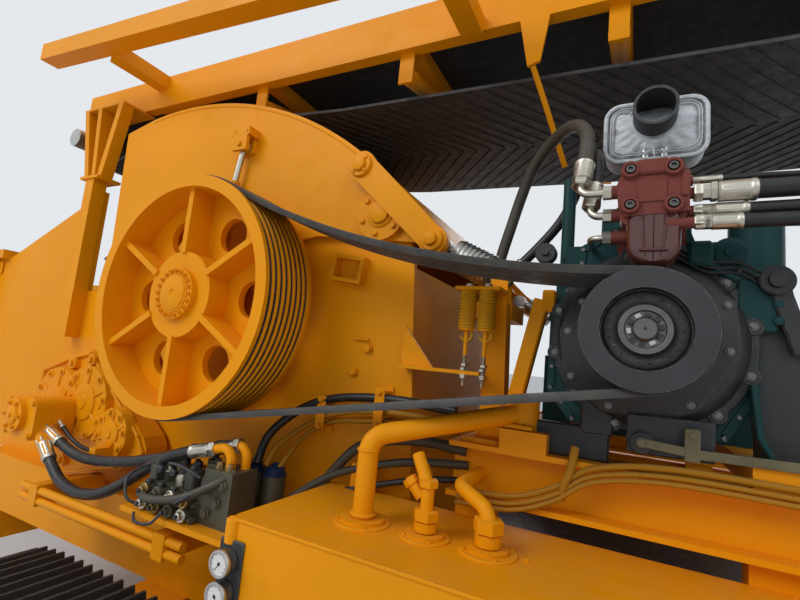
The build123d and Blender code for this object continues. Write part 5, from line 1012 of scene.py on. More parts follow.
def make_gauges():
    plate = Shape()
    plate.block(at(216, -1306, 1052), FRONT, Z_AXIS, 86, 184, 9, 3)
    case, dial, marks = Shape(), Shape(), Shape()
    for x, z, needle_deg in GAUGE_PLACES:
        centre = at(x, GAUGE_FACE_Y, z)
        case.turned(centre - FRONT * 0.03, FRONT,
                    [(0, 33), (20, 33), (24, 36), (31, 36), (34, 34), (34, 29), (31, 28)], 48)
        dial.turned(centre - FRONT * 0.002, FRONT, [(0, 30), (3.4, 30)], 48)
        face = centre + FRONT * 0.0013
        for step in range(TICK_COUNT + 1):
            turn = radians(-DIAL_SWEEP / 2 + DIAL_SWEEP * step / TICK_COUNT)
            outward = Vector((sin(turn), 0, cos(turn)))
            major = step % TICKS_PER_NUMBER == 0
            length = 6.0 if major else 3.4
            marks.block(face + outward * (27.5 - length / 2) * MM, FRONT, outward,
                        1.1 if major else 0.6, length, 0.5, 0.05)
        turn = radians(needle_deg)
        outward = Vector((sin(turn), 0, cos(turn)))
        marks.block(face + outward * 0.008, FRONT, outward, 1.6, 30, 1.2, 0.3)
        marks.turned(face, FRONT, [(0, 4), (2.4, 4), (3, 3)], 16)
    make_piece("gauge_plate", plate, "dark_metal")
    make_piece("gauge_cases", case, "steel", finish="spring_silver")
    make_piece("gauge_dials", dial, "gauge_face", stands_for=("pressure_gauges",))
    make_piece("gauge_marks", marks, "dark_metal", finish="ink_black")


# Heat jacket: a quilted sleeve blown up from a rounded block by cloth simulation, with its hem and hooks
JACKET = (1212, -685, 2464)
JACKET_SIZE = (303, 150, 212)
JACKET_SHRINK = 9
JACKET_PIPE_Z = 2500
JACKET_PIPE_GAP = 70
LACE_TOP, LACE_LOW = 2392, 2374
JACKET_STEPS = 18
JACKET_REACH = 0.014


def make_jacket():
    width, depth, height = (size - 2 * JACKET_SHRINK for size in JACKET_SIZE)
    shape = Shape()
    front = at(JACKET[0], JACKET[1] + depth / 2, JACKET[2])
    side, up, along = cross_frame(FRONT)
    rows = ((0, 26), (14, 8), (30, 0), (depth - 30, 0), (depth - 12, 4), (depth, 24))
    rings = [shape.ring(front + along * reach * MM, side, up,
                        rounded_outline(width - 2 * inset, height - 2 * inset, 46 - min(inset, 20)))
             for reach, inset in rows]
    shape.skin(rings)
    jacket = make_piece("quilted_jacket", shape, "jacket_fabric", stands_for=("heat_jacket",), smooth_deg=180)
    remesh = jacket.modifiers.new("voxels", "REMESH")
    remesh.mode = "VOXEL"
    remesh.voxel_size = 0.0065
    apply_modifiers(jacket)
    noise_push(jacket, 0.0022, 14.0)
    blow_up(jacket, 5.0, JACKET_STEPS, JACKET_REACH)
    crease(jacket)
    smooth = jacket.modifiers.new("smooth", "SUBSURF")
    smooth.levels = smooth.render_levels = 1
    apply_modifiers(jacket)
    jacket.data.shade_smooth()
    make_jacket_hem(width + 12, height + 12, JACKET[1] - depth / 2 - 4)


def make_jacket_hem(width, height, front_y):
    """Piping and two seams of the front edge, a collar round the pipe, and the laced slit."""
    hem = Shape()
    for inset, radius, sunk in ((7, 7.5, 6), (22, 2.0, -2), (29, 2.0, -2)):
        top = height / 2 - inset
        line = rounded_outline(width - 2 * inset, 2 * top, 48 - inset / 2)
        stop = max(0.0, JACKET_PIPE_GAP**2 - (JACKET[2] + top - JACKET_PIPE_Z) ** 2) ** 0.5
        line = [(-stop, top)] + line[CORNER_STEPS + 1:] + line[:CORNER_STEPS + 1] + [(stop, top)]
        hem.tube([at(JACKET[0] + x, front_y + sunk, JACKET[2] + z) for x, z in line], radius, 8)
    collar = [at(JACKET[0] + x, front_y + 2, JACKET_PIPE_Z + z) for x, z in ring_points(74, 40)]
    hem.tube(collar, 3.2, 8, True)
    lace = ((-4, -1, 2424), (-2, -2, 2395), (2, -1, 2366))
    hem.tube([at(JACKET[0] + x, front_y + y, z) for x, y, z in lace], 3, 8)
    make_piece("jacket_hem", hem, "jacket_fabric")
    make_jacket_hooks(front_y)


def make_jacket_hooks(front_y):
    """Two pairs of rivets and the two crossed wires that lace the slit."""
    hooks = Shape()
    for z in (LACE_TOP, LACE_LOW):
        for x in (1188, 1240):
            hooks.turned(at(x, front_y, z), FRONT, [(0, 8), (4, 8), (5, 6), (5, 3), (2, 2)], 14)
    for x, shift in ((1190, 24), (1236, -24)):
        hooks.tube([at(x, front_y - 4, LACE_TOP), at(x + shift, front_y - 6, LACE_LOW)], 1.2, 6)
    make_piece("jacket_hooks", hooks, "steel", finish="spring_silver")


def apply_modifiers(piece):
    graph = bpy.context.evaluated_depsgraph_get()
    done = bpy.data.meshes.new_from_object(piece.evaluated_get(graph))
    piece.modifiers.clear()
    piece.data = done


def noise_push(piece, amount, scale):
    """Small uneven starts, so that the cloth creases as real fabric does."""
    for vertex in piece.data.vertices:
        place = vertex.co * scale
        vertex.co += vertex.normal * amount * (noise.noise(place) + 0.5 * noise.noise(place * 2.3))


def blow_up(piece, pressure, steps, reach):
    start = [vertex.co.copy() for vertex in piece.data.vertices]
    cloth = piece.modifiers.new("cloth", "CLOTH")
    cloth.settings.use_pressure = True
    cloth.settings.uniform_pressure_force = pressure
    cloth.settings.effector_weights.gravity = 0
    scene = bpy.context.scene
    for step in range(1, steps + 1):
        scene.frame_set(step)
    graph = bpy.context.evaluated_depsgraph_get()
    blown = bpy.data.meshes.new_from_object(piece.evaluated_get(graph))
    piece.modifiers.clear()
    scene.frame_set(1)
    for vertex, moved, first in zip(piece.data.vertices, blown.vertices, start):
        shift = moved.co - first
        vertex.co = first + shift * min(1.0, reach / max(shift.length, 1e-6))
    bpy.data.meshes.remove(blown)


def crease(piece):
    """Folds that run out from the pipe over the front face, and the face drawn in round the pipe."""
    pipe = at(JACKET[0], 0, JACKET_PIPE_Z)
    for vertex in piece.data.vertices:
        across = Vector((vertex.co.x - pipe.x, 0, vertex.co.z - pipe.z))
        far = across.length
        turn = atan2(across.z, across.x)
        window = min(1.0, max(0.0, far - 0.068) / 0.02) * min(1.0, max(0.0, 0.160 - far) / 0.05)
        uneven = 0.5 + noise.noise(vertex.co * 11)
        fold = sin(22 * turn + 5 * noise.noise(vertex.co * 7)) * 0.0042 * window * max(0.0, uneven)
        pull = 0.010 * max(0.0, 1 - far / 0.105)
        if vertex.co.y < JACKET[1] * MM - 0.03:
            vertex.co.y += pull + fold


# Bolts and ribs of the gear case with its covers, and of the infeed motor
CASE_FRONT = -860.3
CASE_COVERS = ((-1530, 1270, 200, 45, 10), (-1290, 1310, 185, 35, 9), (-1030, 1195, 125, 40, 8))
CASE_BOSSES = ((-1164, 1304), (-1161, 1150), (-950, 1224), (-1471, 1490), (-1309, 1520), (-1640, 1130),
               (-1420, 1000))
CASE_OUTLINE = ((-1746, 1098), (-1800, 1250), (-1780, 1440), (-1527, 1529), (-1355, 1569), (-1250, 1500),
                (-1150, 1420), (-844, 1200), (-793, 1129), (-989, 1026), (-1464, 912))
CASE_DOME = ((0, 0.5), (8, 0.48), (12, 0.40), (12, 0.2), (18, 0.17))
MOTOR_CENTRE = (-1475, 1235)


def make_gear_case():
    bolts, ribs = Shape(), Shape()
    for x, z, radius, depth, count in CASE_COVERS:
        face = at(x, CASE_FRONT - depth, z)
        for place in around(face, FRONT, radius - 28, count, 10):
            ribs.turned(place + Y_AXIS * 0.012, FRONT, [(0, 24), (16, 21), (18, 18)], 20)
            bolts.bolt(place + FRONT * 0.006, FRONT, 12)
        ribs.turned(face, FRONT, [(reach, radius * share) for reach, share in CASE_DOME], 40)
        for place in around(face, FRONT, radius * 0.62, 6, 25):
            outward = (place - face).normalized()
            ribs.block(place + Y_AXIS * 0.004, FRONT, outward, 12, radius * 0.36, 12, 4)
    bolts.bolts([at(x, CASE_FRONT - 26, z) for x, z in CASE_BOSSES], FRONT, 17)
    corners = [at(x, CASE_FRONT - 2, z) for x, z in CASE_OUTLINE]
    middle = at(-1300, CASE_FRONT - 2, 1240)
    inset = [middle.lerp(corner, 0.94) for corner in corners]
    for start, end in zip(inset, inset[1:] + inset[:1]):
        ribs.swept([start, end], rectangle(14, 30, 4), up=FRONT)
        places = along_line(start, end, max(2, round((end - start).length / 0.12)))[:-1]
        bolts.bolts([place + FRONT * 0.008 for place in places], FRONT, 10)
    make_piece("gear_case_bolts", bolts, "machine_yellow")
    make_piece("gear_case_ribs", ribs, "machine_yellow")


def make_motor_details():
    """Bolts, face and cooling ribs of the infeed motor."""
    motor = Shape()
    motor.bolts([at(x, -1085, z) for x in (-1560, -1350) for z in (1150, 1300)], FRONT, 14)
    for place in around(at(MOTOR_CENTRE[0], -1110, MOTOR_CENTRE[1]), FRONT, 62, 6):
        motor.socket_screw(place, FRONT, 12)
    face = at(MOTOR_CENTRE[0], -1108, MOTOR_CENTRE[1])
    motor.turned(face, FRONT, [(0, 44), (8, 44), (12, 38), (12, 12), (20, 10)], 32)
    for y in range(-1070, -930, 22):
        motor.bar(((-1585, y, 1165), (-1586, y, 1225), (-1585, y, 1290)), rectangle(8, 8, 2))
        motor.bar(((-1520, y, 1324), (-1455, y, 1326), (-1390, y, 1324)), rectangle(8, 8, 2))
    make_piece("infeed_motor_bolts", motor, "machine_yellow")


# Valve bank: solenoids in front, caps and blocks on top, plugs, screw stubs, small lines and filter heads
VALVE_FACE = -1085
VALVE_TOP = 1128
SOLENOID_FACE = -1125
VALVE_BLOCKS = (
    (-446, -1062, 40, 44, 58), (-398, -1000, 50, 52, 84), (-330, -982, 60, 46, 66),
    (-250, -1066, 48, 36, 70), (-200, -1004, 46, 60, 96), (-302, -1066, 34, 34, 48),
    (-178, -1064, 30, 34, 60), (-238, -985, 40, 40, 104),
)
VALVE_STUBS = ((-470, 1050, 13, 26), (-390, 1090, 10, 44), (-320, 1044, 11, 34), (-250, 1092, 12, 40),
               (-184, 1050, 14, 36), (-184, 1096, 11, 28))
OLIVE_LINE = ((-440, -1128, 1092), (-340, -1166, 1100), (-200, -1158, 1128), (-105, -1112, 1180),
              (-62, -1050, 1222))
SMALL_LINES = (
    ((-425, -1150, 1062), (-455, -1172, 1085), (-495, -1150, 1140), (-500, -1090, 1170), (-470, -1030, 1176)),
    ((-285, -1150, 1062), (-300, -1180, 1030), (-370, -1185, 1022), (-430, -1150, 1030)),
    ((-215, -1150, 1108), (-190, -1178, 1120), (-150, -1150, 1150), (-130, -1100, 1160)),
    ((-355, -1060, 1185), (-330, -1110, 1215), (-260, -1120, 1220), (-180, -1095, 1190)),
)


def add_solenoids(silver, brass, body, black):
    """Two rows of solenoids or plugs, each with its nut, and a connector above."""
    for index, x in enumerate((-425, -355, -285, -215)):
        for row, z in enumerate((1062, 1108)):
            face = at(x, SOLENOID_FACE, z)
            kind = (silver, brass, body)[(index + row) % 3]
            kind.turned(face + Y_AXIS * 0.006, FRONT,
                        [(0, 24), (10, 24), (12, 22), (12, 14), (24, 13), (26, 10)], 22)
            black.turned(face + FRONT * 0.02, FRONT, [(0, 8), (9, 8), (10, 6)], 6)
            black.block(at(x, -1108, z + 20), Z_AXIS, FRONT, 22, 26, 14, 3)


def add_valve_tops(silver, brass, body, black, olive):
    """Caps, parting ribs and a clutter of blocks with their plugs on the bank's top."""
    for x, kind in ((-425, silver), (-350, brass), (-275, silver)):
        top = at(x, -1025, 1164)
        kind.turned(top - Z_AXIS * 0.004, Z_AXIS, [(0, 30), (6, 30), (9, 26), (30, 26), (34, 20)], 26)
        black.turned(top + Z_AXIS * 0.03, Z_AXIS, [(0, 15), (22, 15), (26, 11)], 18)
        black.block(at(x + 6, -1062, 1172), FRONT, Z_AXIS, 28, 26, 22, 4)
    for x in (-395, -315, -235):
        body.block(at(x, -1025, VALVE_TOP), Z_AXIS, FRONT, 10, 116, 8, 2)
    for x in (-130, -80):
        brass.turned(at(x, -1060, 1222), Z_AXIS, [(0, 15), (14, 15), (16, 11), (28, 10)], 6)
    for index, (x, y, width, depth, height) in enumerate(VALVE_BLOCKS):
        kind = (olive, body, silver)[index % 3]
        kind.block(at(x, y, VALVE_TOP), Z_AXIS, FRONT, width, depth, height, 5)
        cap, sides = ((olive, 6), (black, 16))[index % 2]
        cap.turned(at(x, y, VALVE_TOP - 2 + height), Z_AXIS, [(0, 13), (12, 13), (14, 10), (20, 9)], sides)


def make_valve_details():
    silver, brass, black, body, olive = (Shape() for piece in range(5))
    add_solenoids(silver, brass, body, black)
    add_valve_tops(silver, brass, body, black, olive)
    body.bolts([at(x, VALVE_FACE, z) for x in (-452, -180) for z in (1052, 1092)], FRONT, 9)
    for x, z in ((-140, 1080), (-95, 1120), (-140, 1160), (-75, 1180)):
        body.turned(at(x, VALVE_FACE, z), FRONT, [(0, 19), (6, 19), (8, 16), (16, 15)], 6, x * 0.1)
    for x, z, radius, length in VALVE_STUBS:
        stub = [(0, radius), (length - 8, radius), (length - 8, radius * 0.7), (length, radius * 0.6)]
        olive.turned(at(x, VALVE_FACE + 1, z), FRONT, stub, 8)
    olive.line(OLIVE_LINE, 15)
    for places in SMALL_LINES:
        black.line(places, 5.5, 8)
    make_piece("solenoid_caps", silver, "steel", finish="zinc_plate")
    make_piece("brass_cartridges", brass, "steel", finish="old_brass")
    make_piece("valve_plugs", black, "dark_metal")
    make_piece("valve_bolts", body, "valve_olive")
    make_filter_heads()
    make_piece("valve_parts", olive, "valve_olive", finish="hose_olive")


def make_filter_heads():
    filters = Shape()
    for x in (-48, -150):
        base = at(x, -860, 1186)
        filters.turned(base, Z_AXIS, [(0, 46), (6, 46), (8, 40), (26, 38), (34, 28)], 32)
        filters.turned(base + Z_AXIS * 0.03, Z_AXIS, [(0, 14), (14, 14), (16, 12)], 6)
    make_piece("filter_heads", filters, "valve_olive", finish="filter_blue")


# Steel pipes and hoses held as rigid lines, from the valve bank past the mill plate to the subframe
PIPE_ROWS = (
    ("black", 17, ((-105, -905, 1225), (-105, -850, 1330), (0, -800, 1440), (160, -784, 1500),
                   (400, -782, 1522), (640, -790, 1512))),
    ("painted", 11, ((-60, -905, 1225), (-50, -850, 1300), (60, -790, 1400), (200, -776, 1452),
                     (420, -774, 1474), (640, -782, 1466))),
    ("painted", 9, ((-30, -860, 1215), (20, -800, 1330), (120, -768, 1400), (260, -764, 1424),
                    (430, -764, 1440), (650, -775, 1440))),
    ("olive", 14, ((-10, -900, 1060), (60, -868, 1130), (200, -850, 1228), (360, -838, 1290),
                   (520, -826, 1330), (700, -800, 1348))),
    ("black", 11, ((-10, -880, 1040), (100, -860, 1120), (240, -846, 1180), (400, -836, 1235),
                   (560, -824, 1280), (700, -800, 1300))),
    ("olive", 18, ((60, -845, 1100), (150, -840, 1180), (280, -836, 1330), (390, -826, 1380),
                   (540, -812, 1400), (690, -800, 1392))),
)
LOOM = ((1560, -868, 1452), (1260, -872, 1452), (1080, -874, 1420), (980, -874, 1350), (860, -872, 1300),
        (690, -868, 1286))
SIDE_LOOM = ((1030, -868, 1470), (1022, -880, 1410), (1005, -882, 1360), (1000, -870, 1320))


def make_pipes():
    lines = {"painted": Shape(), "black": Shape(), "olive": Shape()}
    for kind, radius, places in PIPE_ROWS:
        lines[kind].line(places, radius)
    make_piece("frame_pipes", lines["painted"], "machine_yellow", finish="pipe_yellow")
    make_piece("frame_lines_black", lines["black"], "hose_rubber")
    make_piece("frame_lines_olive", lines["olive"], "hose_rubber", finish="hose_olive")


def make_pipe_clamps():
    """Bolted clamp plates over the pipes and two brackets under the hoses."""
    clamps = Shape()
    for x, z, height in ((345, 1480, 170), (90, 1432, 150)):
        clamps.block(at(x, -731, z), FRONT, Z_AXIS, 44, height, 8, 2)
        clamps.block(at(x, -796, z + 8), FRONT, Z_AXIS, 40, height - 30, 7, 2)
        for offset in (height / 2 - 22, -height / 2 + 30):
            clamps.block(at(x, -735, z + offset), FRONT, Z_AXIS, 36, 12, 62, 2)
            clamps.bolt(at(x, -803, z + offset), FRONT, 11)
    for x, z in ((300, 1262), (560, 1305)):
        clamps.block(at(x, -818, z - 70), Z_AXIS, FRONT, 34, 60, 100, 4)
    make_piece("pipe_clamps", clamps, "machine_yellow")


def make_cable_looms():
    loom = Shape()
    for radius, drop in ((9, 0), (7, 20), (7, 36)):
        loom.line([(x, y - drop * 0.3, z - drop) for x, y, z in LOOM], radius, 10)
    loom.line(SIDE_LOOM, 12, 10)
    make_piece("cable_looms", loom, "machine_yellow", finish="pipe_yellow")


# Brace beside the hangers, and the clutch lever with its link under the pulley
def make_brace():
    brace = Shape()
    brace.bar(((816, -772, 1500), (901, -772, 1905)), rectangle(48, 48, 5), Y_AXIS)
    brace.block(at(830, -790, 1492), Z_AXIS, FRONT, 150, 130, 14, 3)
    brace.block(at(905, -775, 1900), X_AXIS, Z_AXIS, 60, 70, 40, 4)
    brace.bolts([at(x, y, 1506) for x in (790, 884) for y in (-830, -750)], Z_AXIS, 11)
    make_piece("engine_brace", brace, "machine_yellow")


def make_clutch_lever():
    lever = Shape()
    lever.block(at(1262, -838, 1530), FRONT, Z_AXIS, 206, 104, 14, 4)
    lever.turned(at(1196, -850, 1508), FRONT, [(0, 30), (16, 30), (20, 26)], 30)
    lever.block(at(1262, -800, 1510), FRONT, Z_AXIS, 120, 60, 50, 4)
    make_piece("clutch_lever_plate", lever, "dark_metal")
    link = Shape()
    link.bar(((1196, -874, 1510), (1330, -874, 1500), (1700, -874, 1506)), rectangle(10, 24, 2), Z_AXIS)
    link.block(at(1312, -864, 1520), FRONT, Z_AXIS, 36, 84, 16, 3)
    link.bolt(at(1312, -880, 1545), FRONT, 10)
    link.bolt(at(1196, -879, 1510), FRONT, 12)
    link.block(at(1690, -866, 1440), Z_AXIS, FRONT, 30, 24, 80, 3)
    make_piece("clutch_link", link, "steel", finish="worn_olive")


make_gauges()
make_jacket()
make_gear_case()
make_motor_details()
make_valve_details()
make_pipes()
make_pipe_clamps()
make_cable_looms()
make_brace()
make_clutch_lever()


# Details of the whole machine: bolts of the track shoes, rotor bearings, radiator and infeed trough
TRACK_ENDS = (-1350, 2250)
TRACK_RADIUS = 375
TRACK_MIDDLE = 1290
SHOE_COUNT = 40
SIDE_PLATE_FACE = 733
BEARING_FACE = 812
RADIATOR_FACE = 910
RADIATOR_MIDDLE = 1965


def track_places(side):
    """Places just under the shoes with their outward directions, along both runs and round both ends."""
    left, right = TRACK_ENDS[0] + TRACK_RADIUS, TRACK_ENDS[1] - TRACK_RADIUS
    run, bend = right - left, pi * TRACK_RADIUS
    for step in range(SHOE_COUNT):
        far = 2 * (run + bend) * step / SHOE_COUNT
        if far < run:
            x, turn = left + far, 0.5 * pi
        elif far < run + bend:
            x, turn = right, 0.5 * pi - (far - run) / TRACK_RADIUS
        elif far < 2 * run + bend:
            x, turn = right - (far - run - bend), -0.5 * pi
        else:
            x, turn = left, -0.5 * pi - (far - 2 * run - bend) / TRACK_RADIUS
        outward = Vector((cos(turn), 0, sin(turn)))
        yield at(x, side * TRACK_MIDDLE, TRACK_RADIUS) + outward * (TRACK_RADIUS - 34) * MM, outward


def make_track_bolts():
    bolts = Shape()
    for side in (-1, 1):
        for place, outward in track_places(side):
            across = outward.cross(Y_AXIS)
            bolts.bolts([place + Y_AXIS * y * MM + across * 0.03 for y in (-150, -60, 60, 150)], outward, 11)
    make_piece("track_bolts", bolts, "track_steel")


def make_rotor_bearings():
    castings, bolts = Shape(), Shape()
    for side in (-1, 1):
        out = Y_AXIS * side
        for x in (-640, -360):
            for z in (1772, 1928):
                place = at(x, side * BEARING_FACE, z)
                castings.turned(place - out * 0.006, out, [(0, 32), (12, 30), (14, 27)], 24)
                bolts.bolt(place + out * 0.008, out, 20)
    centre = at(SHEAVE[0], BEARING_FACE, SHEAVE[1])
    castings.turned(centre, Y_AXIS, [(0, 132), (26, 128), (34, 118), (34, 60), (44, 56), (50, 40)], 56)
    bolts.bolts(around(centre + Y_AXIS * 0.034, Y_AXIS, 96, 6), Y_AXIS, 14)
    castings.turned(centre + Z_AXIS * 0.12 + Y_AXIS * 0.01, Z_AXIS, [(0, 9), (26, 9), (28, 7), (40, 5)], 12)
    make_piece("bearing_castings", castings, "machine_yellow")
    make_piece("bearing_bolts", bolts, "steel", finish="oiled_metal")


def make_radiator_details():
    rails, grille = Shape(), Shape()
    for z in range(1520, 2420, 20):
        grille.block(at(PULLEY[0], RADIATOR_FACE + 3, z), Y_AXIS, Z_AXIS, 800, 4, 8, 1)
    for x in range(800, 1600, 98):
        grille.block(at(x, RADIATOR_FACE + 5, RADIATOR_MIDDLE), Y_AXIS, Z_AXIS, 8, 900, 12, 1)
    for x in (768, 1621):
        rails.block(at(x, RADIATOR_FACE, RADIATOR_MIDDLE), Y_AXIS, Z_AXIS, 40, 950, 20, 4)
    for z in (1500, 2425):
        rails.block(at(PULLEY[0], RADIATOR_FACE, z), Y_AXIS, Z_AXIS, 880, 36, 20, 4)
    rails.turned(at(1400, 850, 2438), Z_AXIS, [(0, 40), (20, 40), (26, 34), (26, 20)], 28)
    make_piece("radiator_grille", grille, "dark_metal")
    make_piece("radiator_frame", rails, "dark_metal")


def make_trough_details():
    bolts, plates = Shape(), Shape()
    for side in (-1, 1):
        out = Y_AXIS * side
        for x in range(-5240, -2540, 600):
            for z in (1350, 2050):
                plates.block(at(x, side * SIDE_PLATE_FACE, z), out, Z_AXIS, 90, 90, 8, 3)
                bolts.bolt(at(x, side * (SIDE_PLATE_FACE + 8), z), out, 12)
        bolts.bolts([at(x, side * SIDE_PLATE_FACE, 1230) for x in range(-5150, -2700, 300)], out, 13)
    make_piece("trough_bolts", bolts, "steel", finish="oiled_metal")
    make_piece("trough_plates", plates, "machine_yellow")


# Fittings of the tanks: flange plates with screws, nuts on the pipes, corner blocks, seams and filler caps
TANK_TOP = 1200
TANK_SIDE = -1307
TANK_MIDDLE = 945
TANK_PIPES = ((490, -1099, 82), (679, -1083, 70), (848, -1066, 78))
TANK_NUTS = ((679, -1083, 1216, 31, 26, 32), (679, -1083, 1244, 36, 28, 6), (679, -1083, 1330, 28, 22, 6),
             (848, -1066, 1216, 34, 30, 32), (848, -1066, 1248, 40, 34, 6))
# Place, profile, then height, radius and depth of the grips round the cap
FILLER_CAPS = (
    ((1610, -1060, 1198), ((0, 62), (12, 62), (12, 52), (44, 52), (50, 46), (50, 14), (58, 12)), 44, 52, 26),
    ((1250, 1060, 1238), ((0, 70), (12, 70), (12, 56), (46, 56), (52, 50), (52, 14)), 32, 56, 30),
)


def make_tank_fittings():
    plates, screws, nuts = Shape(), Shape(), Shape()
    for x, y, radius in TANK_PIPES:
        foot = at(x, y, TANK_TOP)
        plates.turned(foot - Z_AXIS * 0.001, Z_AXIS, [(0, radius), (5, radius), (7, radius - 2), (7, 40)], 48)
        for place in around(foot + Z_AXIS * 0.007, Z_AXIS, radius - 12, 4, 35):
            screws.socket_screw(place - Z_AXIS * 0.004, Z_AXIS, 8)
    for z, collar in ((1222, [(0, 38), (5, 37), (7, 33)]), (1398, [(0, 33), (2, 34), (5, 34), (7, 33)])):
        nuts.turned(at(*TANK_PIPES[0][:2], z), Z_AXIS, collar, 32)
    for x, y, z, size, height, sides in TANK_NUTS:
        nut = [(0, size - 3), (2, size), (height - 2, size), (height, size - 3)]
        nuts.turned(at(x, y, z), Z_AXIS, nut, sides)
    elbow = [(0, 16), (40, 16), (41, 21), (60, 21), (62, 15)]
    nuts.turned(at(660, -1080, 1300), Vector((-0.7, 0, 0.7)), elbow, 6)
    make_piece("tank_flanges", plates, "machine_yellow")
    make_piece("tank_screws", screws, "machine_yellow")
    make_piece("tank_nuts", nuts, "machine_yellow")


def make_tank_pads():
    """Corner blocks, seams and plugs of the hydraulic tank, and both tanks' filler caps."""
    pads = Shape()
    for x in (203, 1692):
        for y in (-1300, -822):
            pads.turned(at(x, y, 1130), Z_AXIS, [(0, 18), (3, 22), (62, 22), (66, 18)], 24)
    for z, height in ((1196, 8), (806, 12)):
        pads.block(at(TANK_MIDDLE, TANK_SIDE, z), FRONT, Z_AXIS, 1500, height, 5, 1)
    for x in (420, TANK_MIDDLE, 1470):
        pads.turned(at(x, -1050, TANK_TOP), Z_AXIS, [(0, 9), (4, 9), (6, 6)], 6)
    for place, profile, rise, radius, depth in FILLER_CAPS:
        foot = at(*place)
        pads.turned(foot, Z_AXIS, profile, 40)
        for grip in around(foot + Z_AXIS * rise * MM, Z_AXIS, radius, 12):
            pads.block(grip, Z_AXIS, X_AXIS, 10, 10, depth, 2)
    make_piece("tank_pads", pads, "machine_yellow")


# Mill plate: bolts on both sides, and the hinges and handle of the far side's hatch
def make_mill_details():
    bolts, plates = Shape(), Shape()
    for side, x_list in ((-1, (236, 180)), (1, (236, 180, -60, -240, -760, -920))):
        for index, x in enumerate(x_list):
            bolts.bolt(at(x, side * SIDE_PLATE_FACE, 1700 - 95 * (index % 2)), Y_AXIS * side, 19)
    plates.block(at(205, -SIDE_PLATE_FACE, 1735), FRONT, Z_AXIS, 70, 9, 12, 2)
    for x in (-1080, -200):
        plates.block(at(x, 738, 2120), Y_AXIS, Z_AXIS, 70, 130, 18, 4)
        plates.turned(at(x, 752, 2060), Z_AXIS, [(0, 16), (120, 16)], 16)
    plates.line(((-740, 735, 2020), (-740, 790, 2030), (-600, 790, 2030), (-600, 735, 2020)), 11)
    make_piece("mill_bolts", bolts, "machine_yellow")
    make_piece("mill_plates", plates, "machine_yellow")


# Beside the clutch housing: dark arm, brackets and feet of the engine, teal bracket and wires
ENGINE_WIRE = ((1180, -815, 2080), (1260, -828, 2040), (1340, -824, 1990), (1420, -818, 1985),
               (1480, -806, 1950))


def make_engine_arm():
    arm = Shape()
    arm.bar(((1500, -806, 1990), (1512, -806, 1930), (1556, -800, 1780)), rectangle(46, 26, 5), Y_AXIS)
    arm_hub = [(0, 40), (36, 40), (40, 36), (40, 22), (54, 20), (56, 16)]
    arm.turned(at(1500, -792, 1965), FRONT, arm_hub, 30)
    arm.block(at(1010, -772, 1478), FRONT, Z_AXIS, 210, 96, 40, 6)
    for x in range(930, 1100, 24):
        arm.block(at(x, -796, 1480), FRONT, Z_AXIS, 9, 84, 14, 2)
    arm.block(at(1080, -790, 1560), FRONT, Z_AXIS, 90, 110, 26, 6)
    arm.turned(at(905, -760, 2060), FRONT, [(0, 34), (30, 34), (34, 30), (34, 12), (44, 10)], 28)
    make_piece("engine_arm", arm, "dark_metal")


def make_engine_bracket():
    teal = Shape()
    teal.bar(((1450, -800, 1690), (1462, -802, 1560), (1500, -804, 1482), (1640, -806, 1462)),
             rectangle(16, 66, 3), Y_AXIS)
    teal.block(at(1462, -786, 1905), FRONT, Z_AXIS, 90, 150, 20, 6)
    for z in (1860, 1905, 1950):
        teal.block(at(1506, -790, z), FRONT, Z_AXIS, 22, 22, 30, 4)
    teal.line(((1180, -800, 2070), (1290, -815, 2055), (1370, -812, 2000), (1420, -806, 1970)), 12)
    teal.block(at(1330, -800, 2040), FRONT, Z_AXIS, 60, 70, 40, 8)
    teal.turned(at(1402, -770, 2050), FRONT, [(0, 42), (24, 42), (28, 36), (28, 14), (34, 12)], 32)
    make_piece("engine_bracket", teal, "engine_teal")


def make_engine_wires():
    wires = Shape()
    for lift in (0, 14, 30):
        wires.line([(x, y, z + lift) for x, y, z in ENGINE_WIRE], 4.5, 8)
    make_piece("engine_wires", wires, "hose_rubber")


make_track_bolts()
make_rotor_bearings()
make_radiator_details()
make_trough_details()
make_tank_fittings()
make_tank_pads()
make_mill_details()
make_engine_arm()
make_engine_bracket()
make_engine_wires()


# Dark strips on the groove walls of the sheave: painted shade in the grooves, with the belts' rubber marks
GROOVE_SHADE_SECTION = ((-8.8, 491.9), (-4.6, 480.4), (4.6, 480.4), (8.8, 491.9), (8.2, 491.9), (4.2, 481.2),
                (-4.2, 481.2), (-8.2, 491.9))


def make_groove_shade_marks():
    shape = Shape()
    for groove in range(GROOVE_COUNT):
        middle = FIRST_GROOVE + groove * GROOVE_PITCH
        rings = []
        for turn in (2 * pi * step / 72 for step in range(72)):
            wall = ((radius * cos(turn), y, radius * sin(turn)) for y, radius in GROOVE_SHADE_SECTION)
            rings.append(shape.corners(at(SHEAVE[0] + x, middle + y, SHEAVE[1] + z) for x, y, z in wall))
        shape.skin(rings, loop=True)
    # The dark strips are painted shade in the grooves, with the belts' rubber marks
    make_piece("groove_shade_marks", shape, "belt_rubber", "rotor")


make_groove_shade_marks()


# Floor, daylight and soft lamps
FLOOR_SIZE = 400.0
MACHINE_MIDDLE = Vector((0.3, -0.6, 1.8))
LAMP_SIZE = 7.0
LAMPS = (
    ("key_lamp", (-5.5, -9.5, 9.5), 620),
    ("fill_lamp", (8.0, -9.0, 8.5), 170),
    ("back_lamp", (0.0, 11.0, 10.0), 420),
)


def make_floor():
    mesh = bpy.data.meshes.new("floor")
    half = FLOOR_SIZE / 2
    corners = [(-half, -half, 0), (half, -half, 0), (half, half, 0), (-half, half, 0)]
    mesh.from_pydata(corners, [], [(0, 1, 2, 3)])
    floor = bpy.data.objects.new("floor", mesh)
    bpy.context.collection.objects.link(floor)
    graph = Graph("floor_pale")
    speckle = graph.noise(3.0, 5)
    graph.color(graph.mix(speckle, FLOOR_DARKER, FLOOR_LIGHTER))
    graph.shader.inputs["Roughness"].default_value = 0.7
    mesh.materials.append(graph.material)


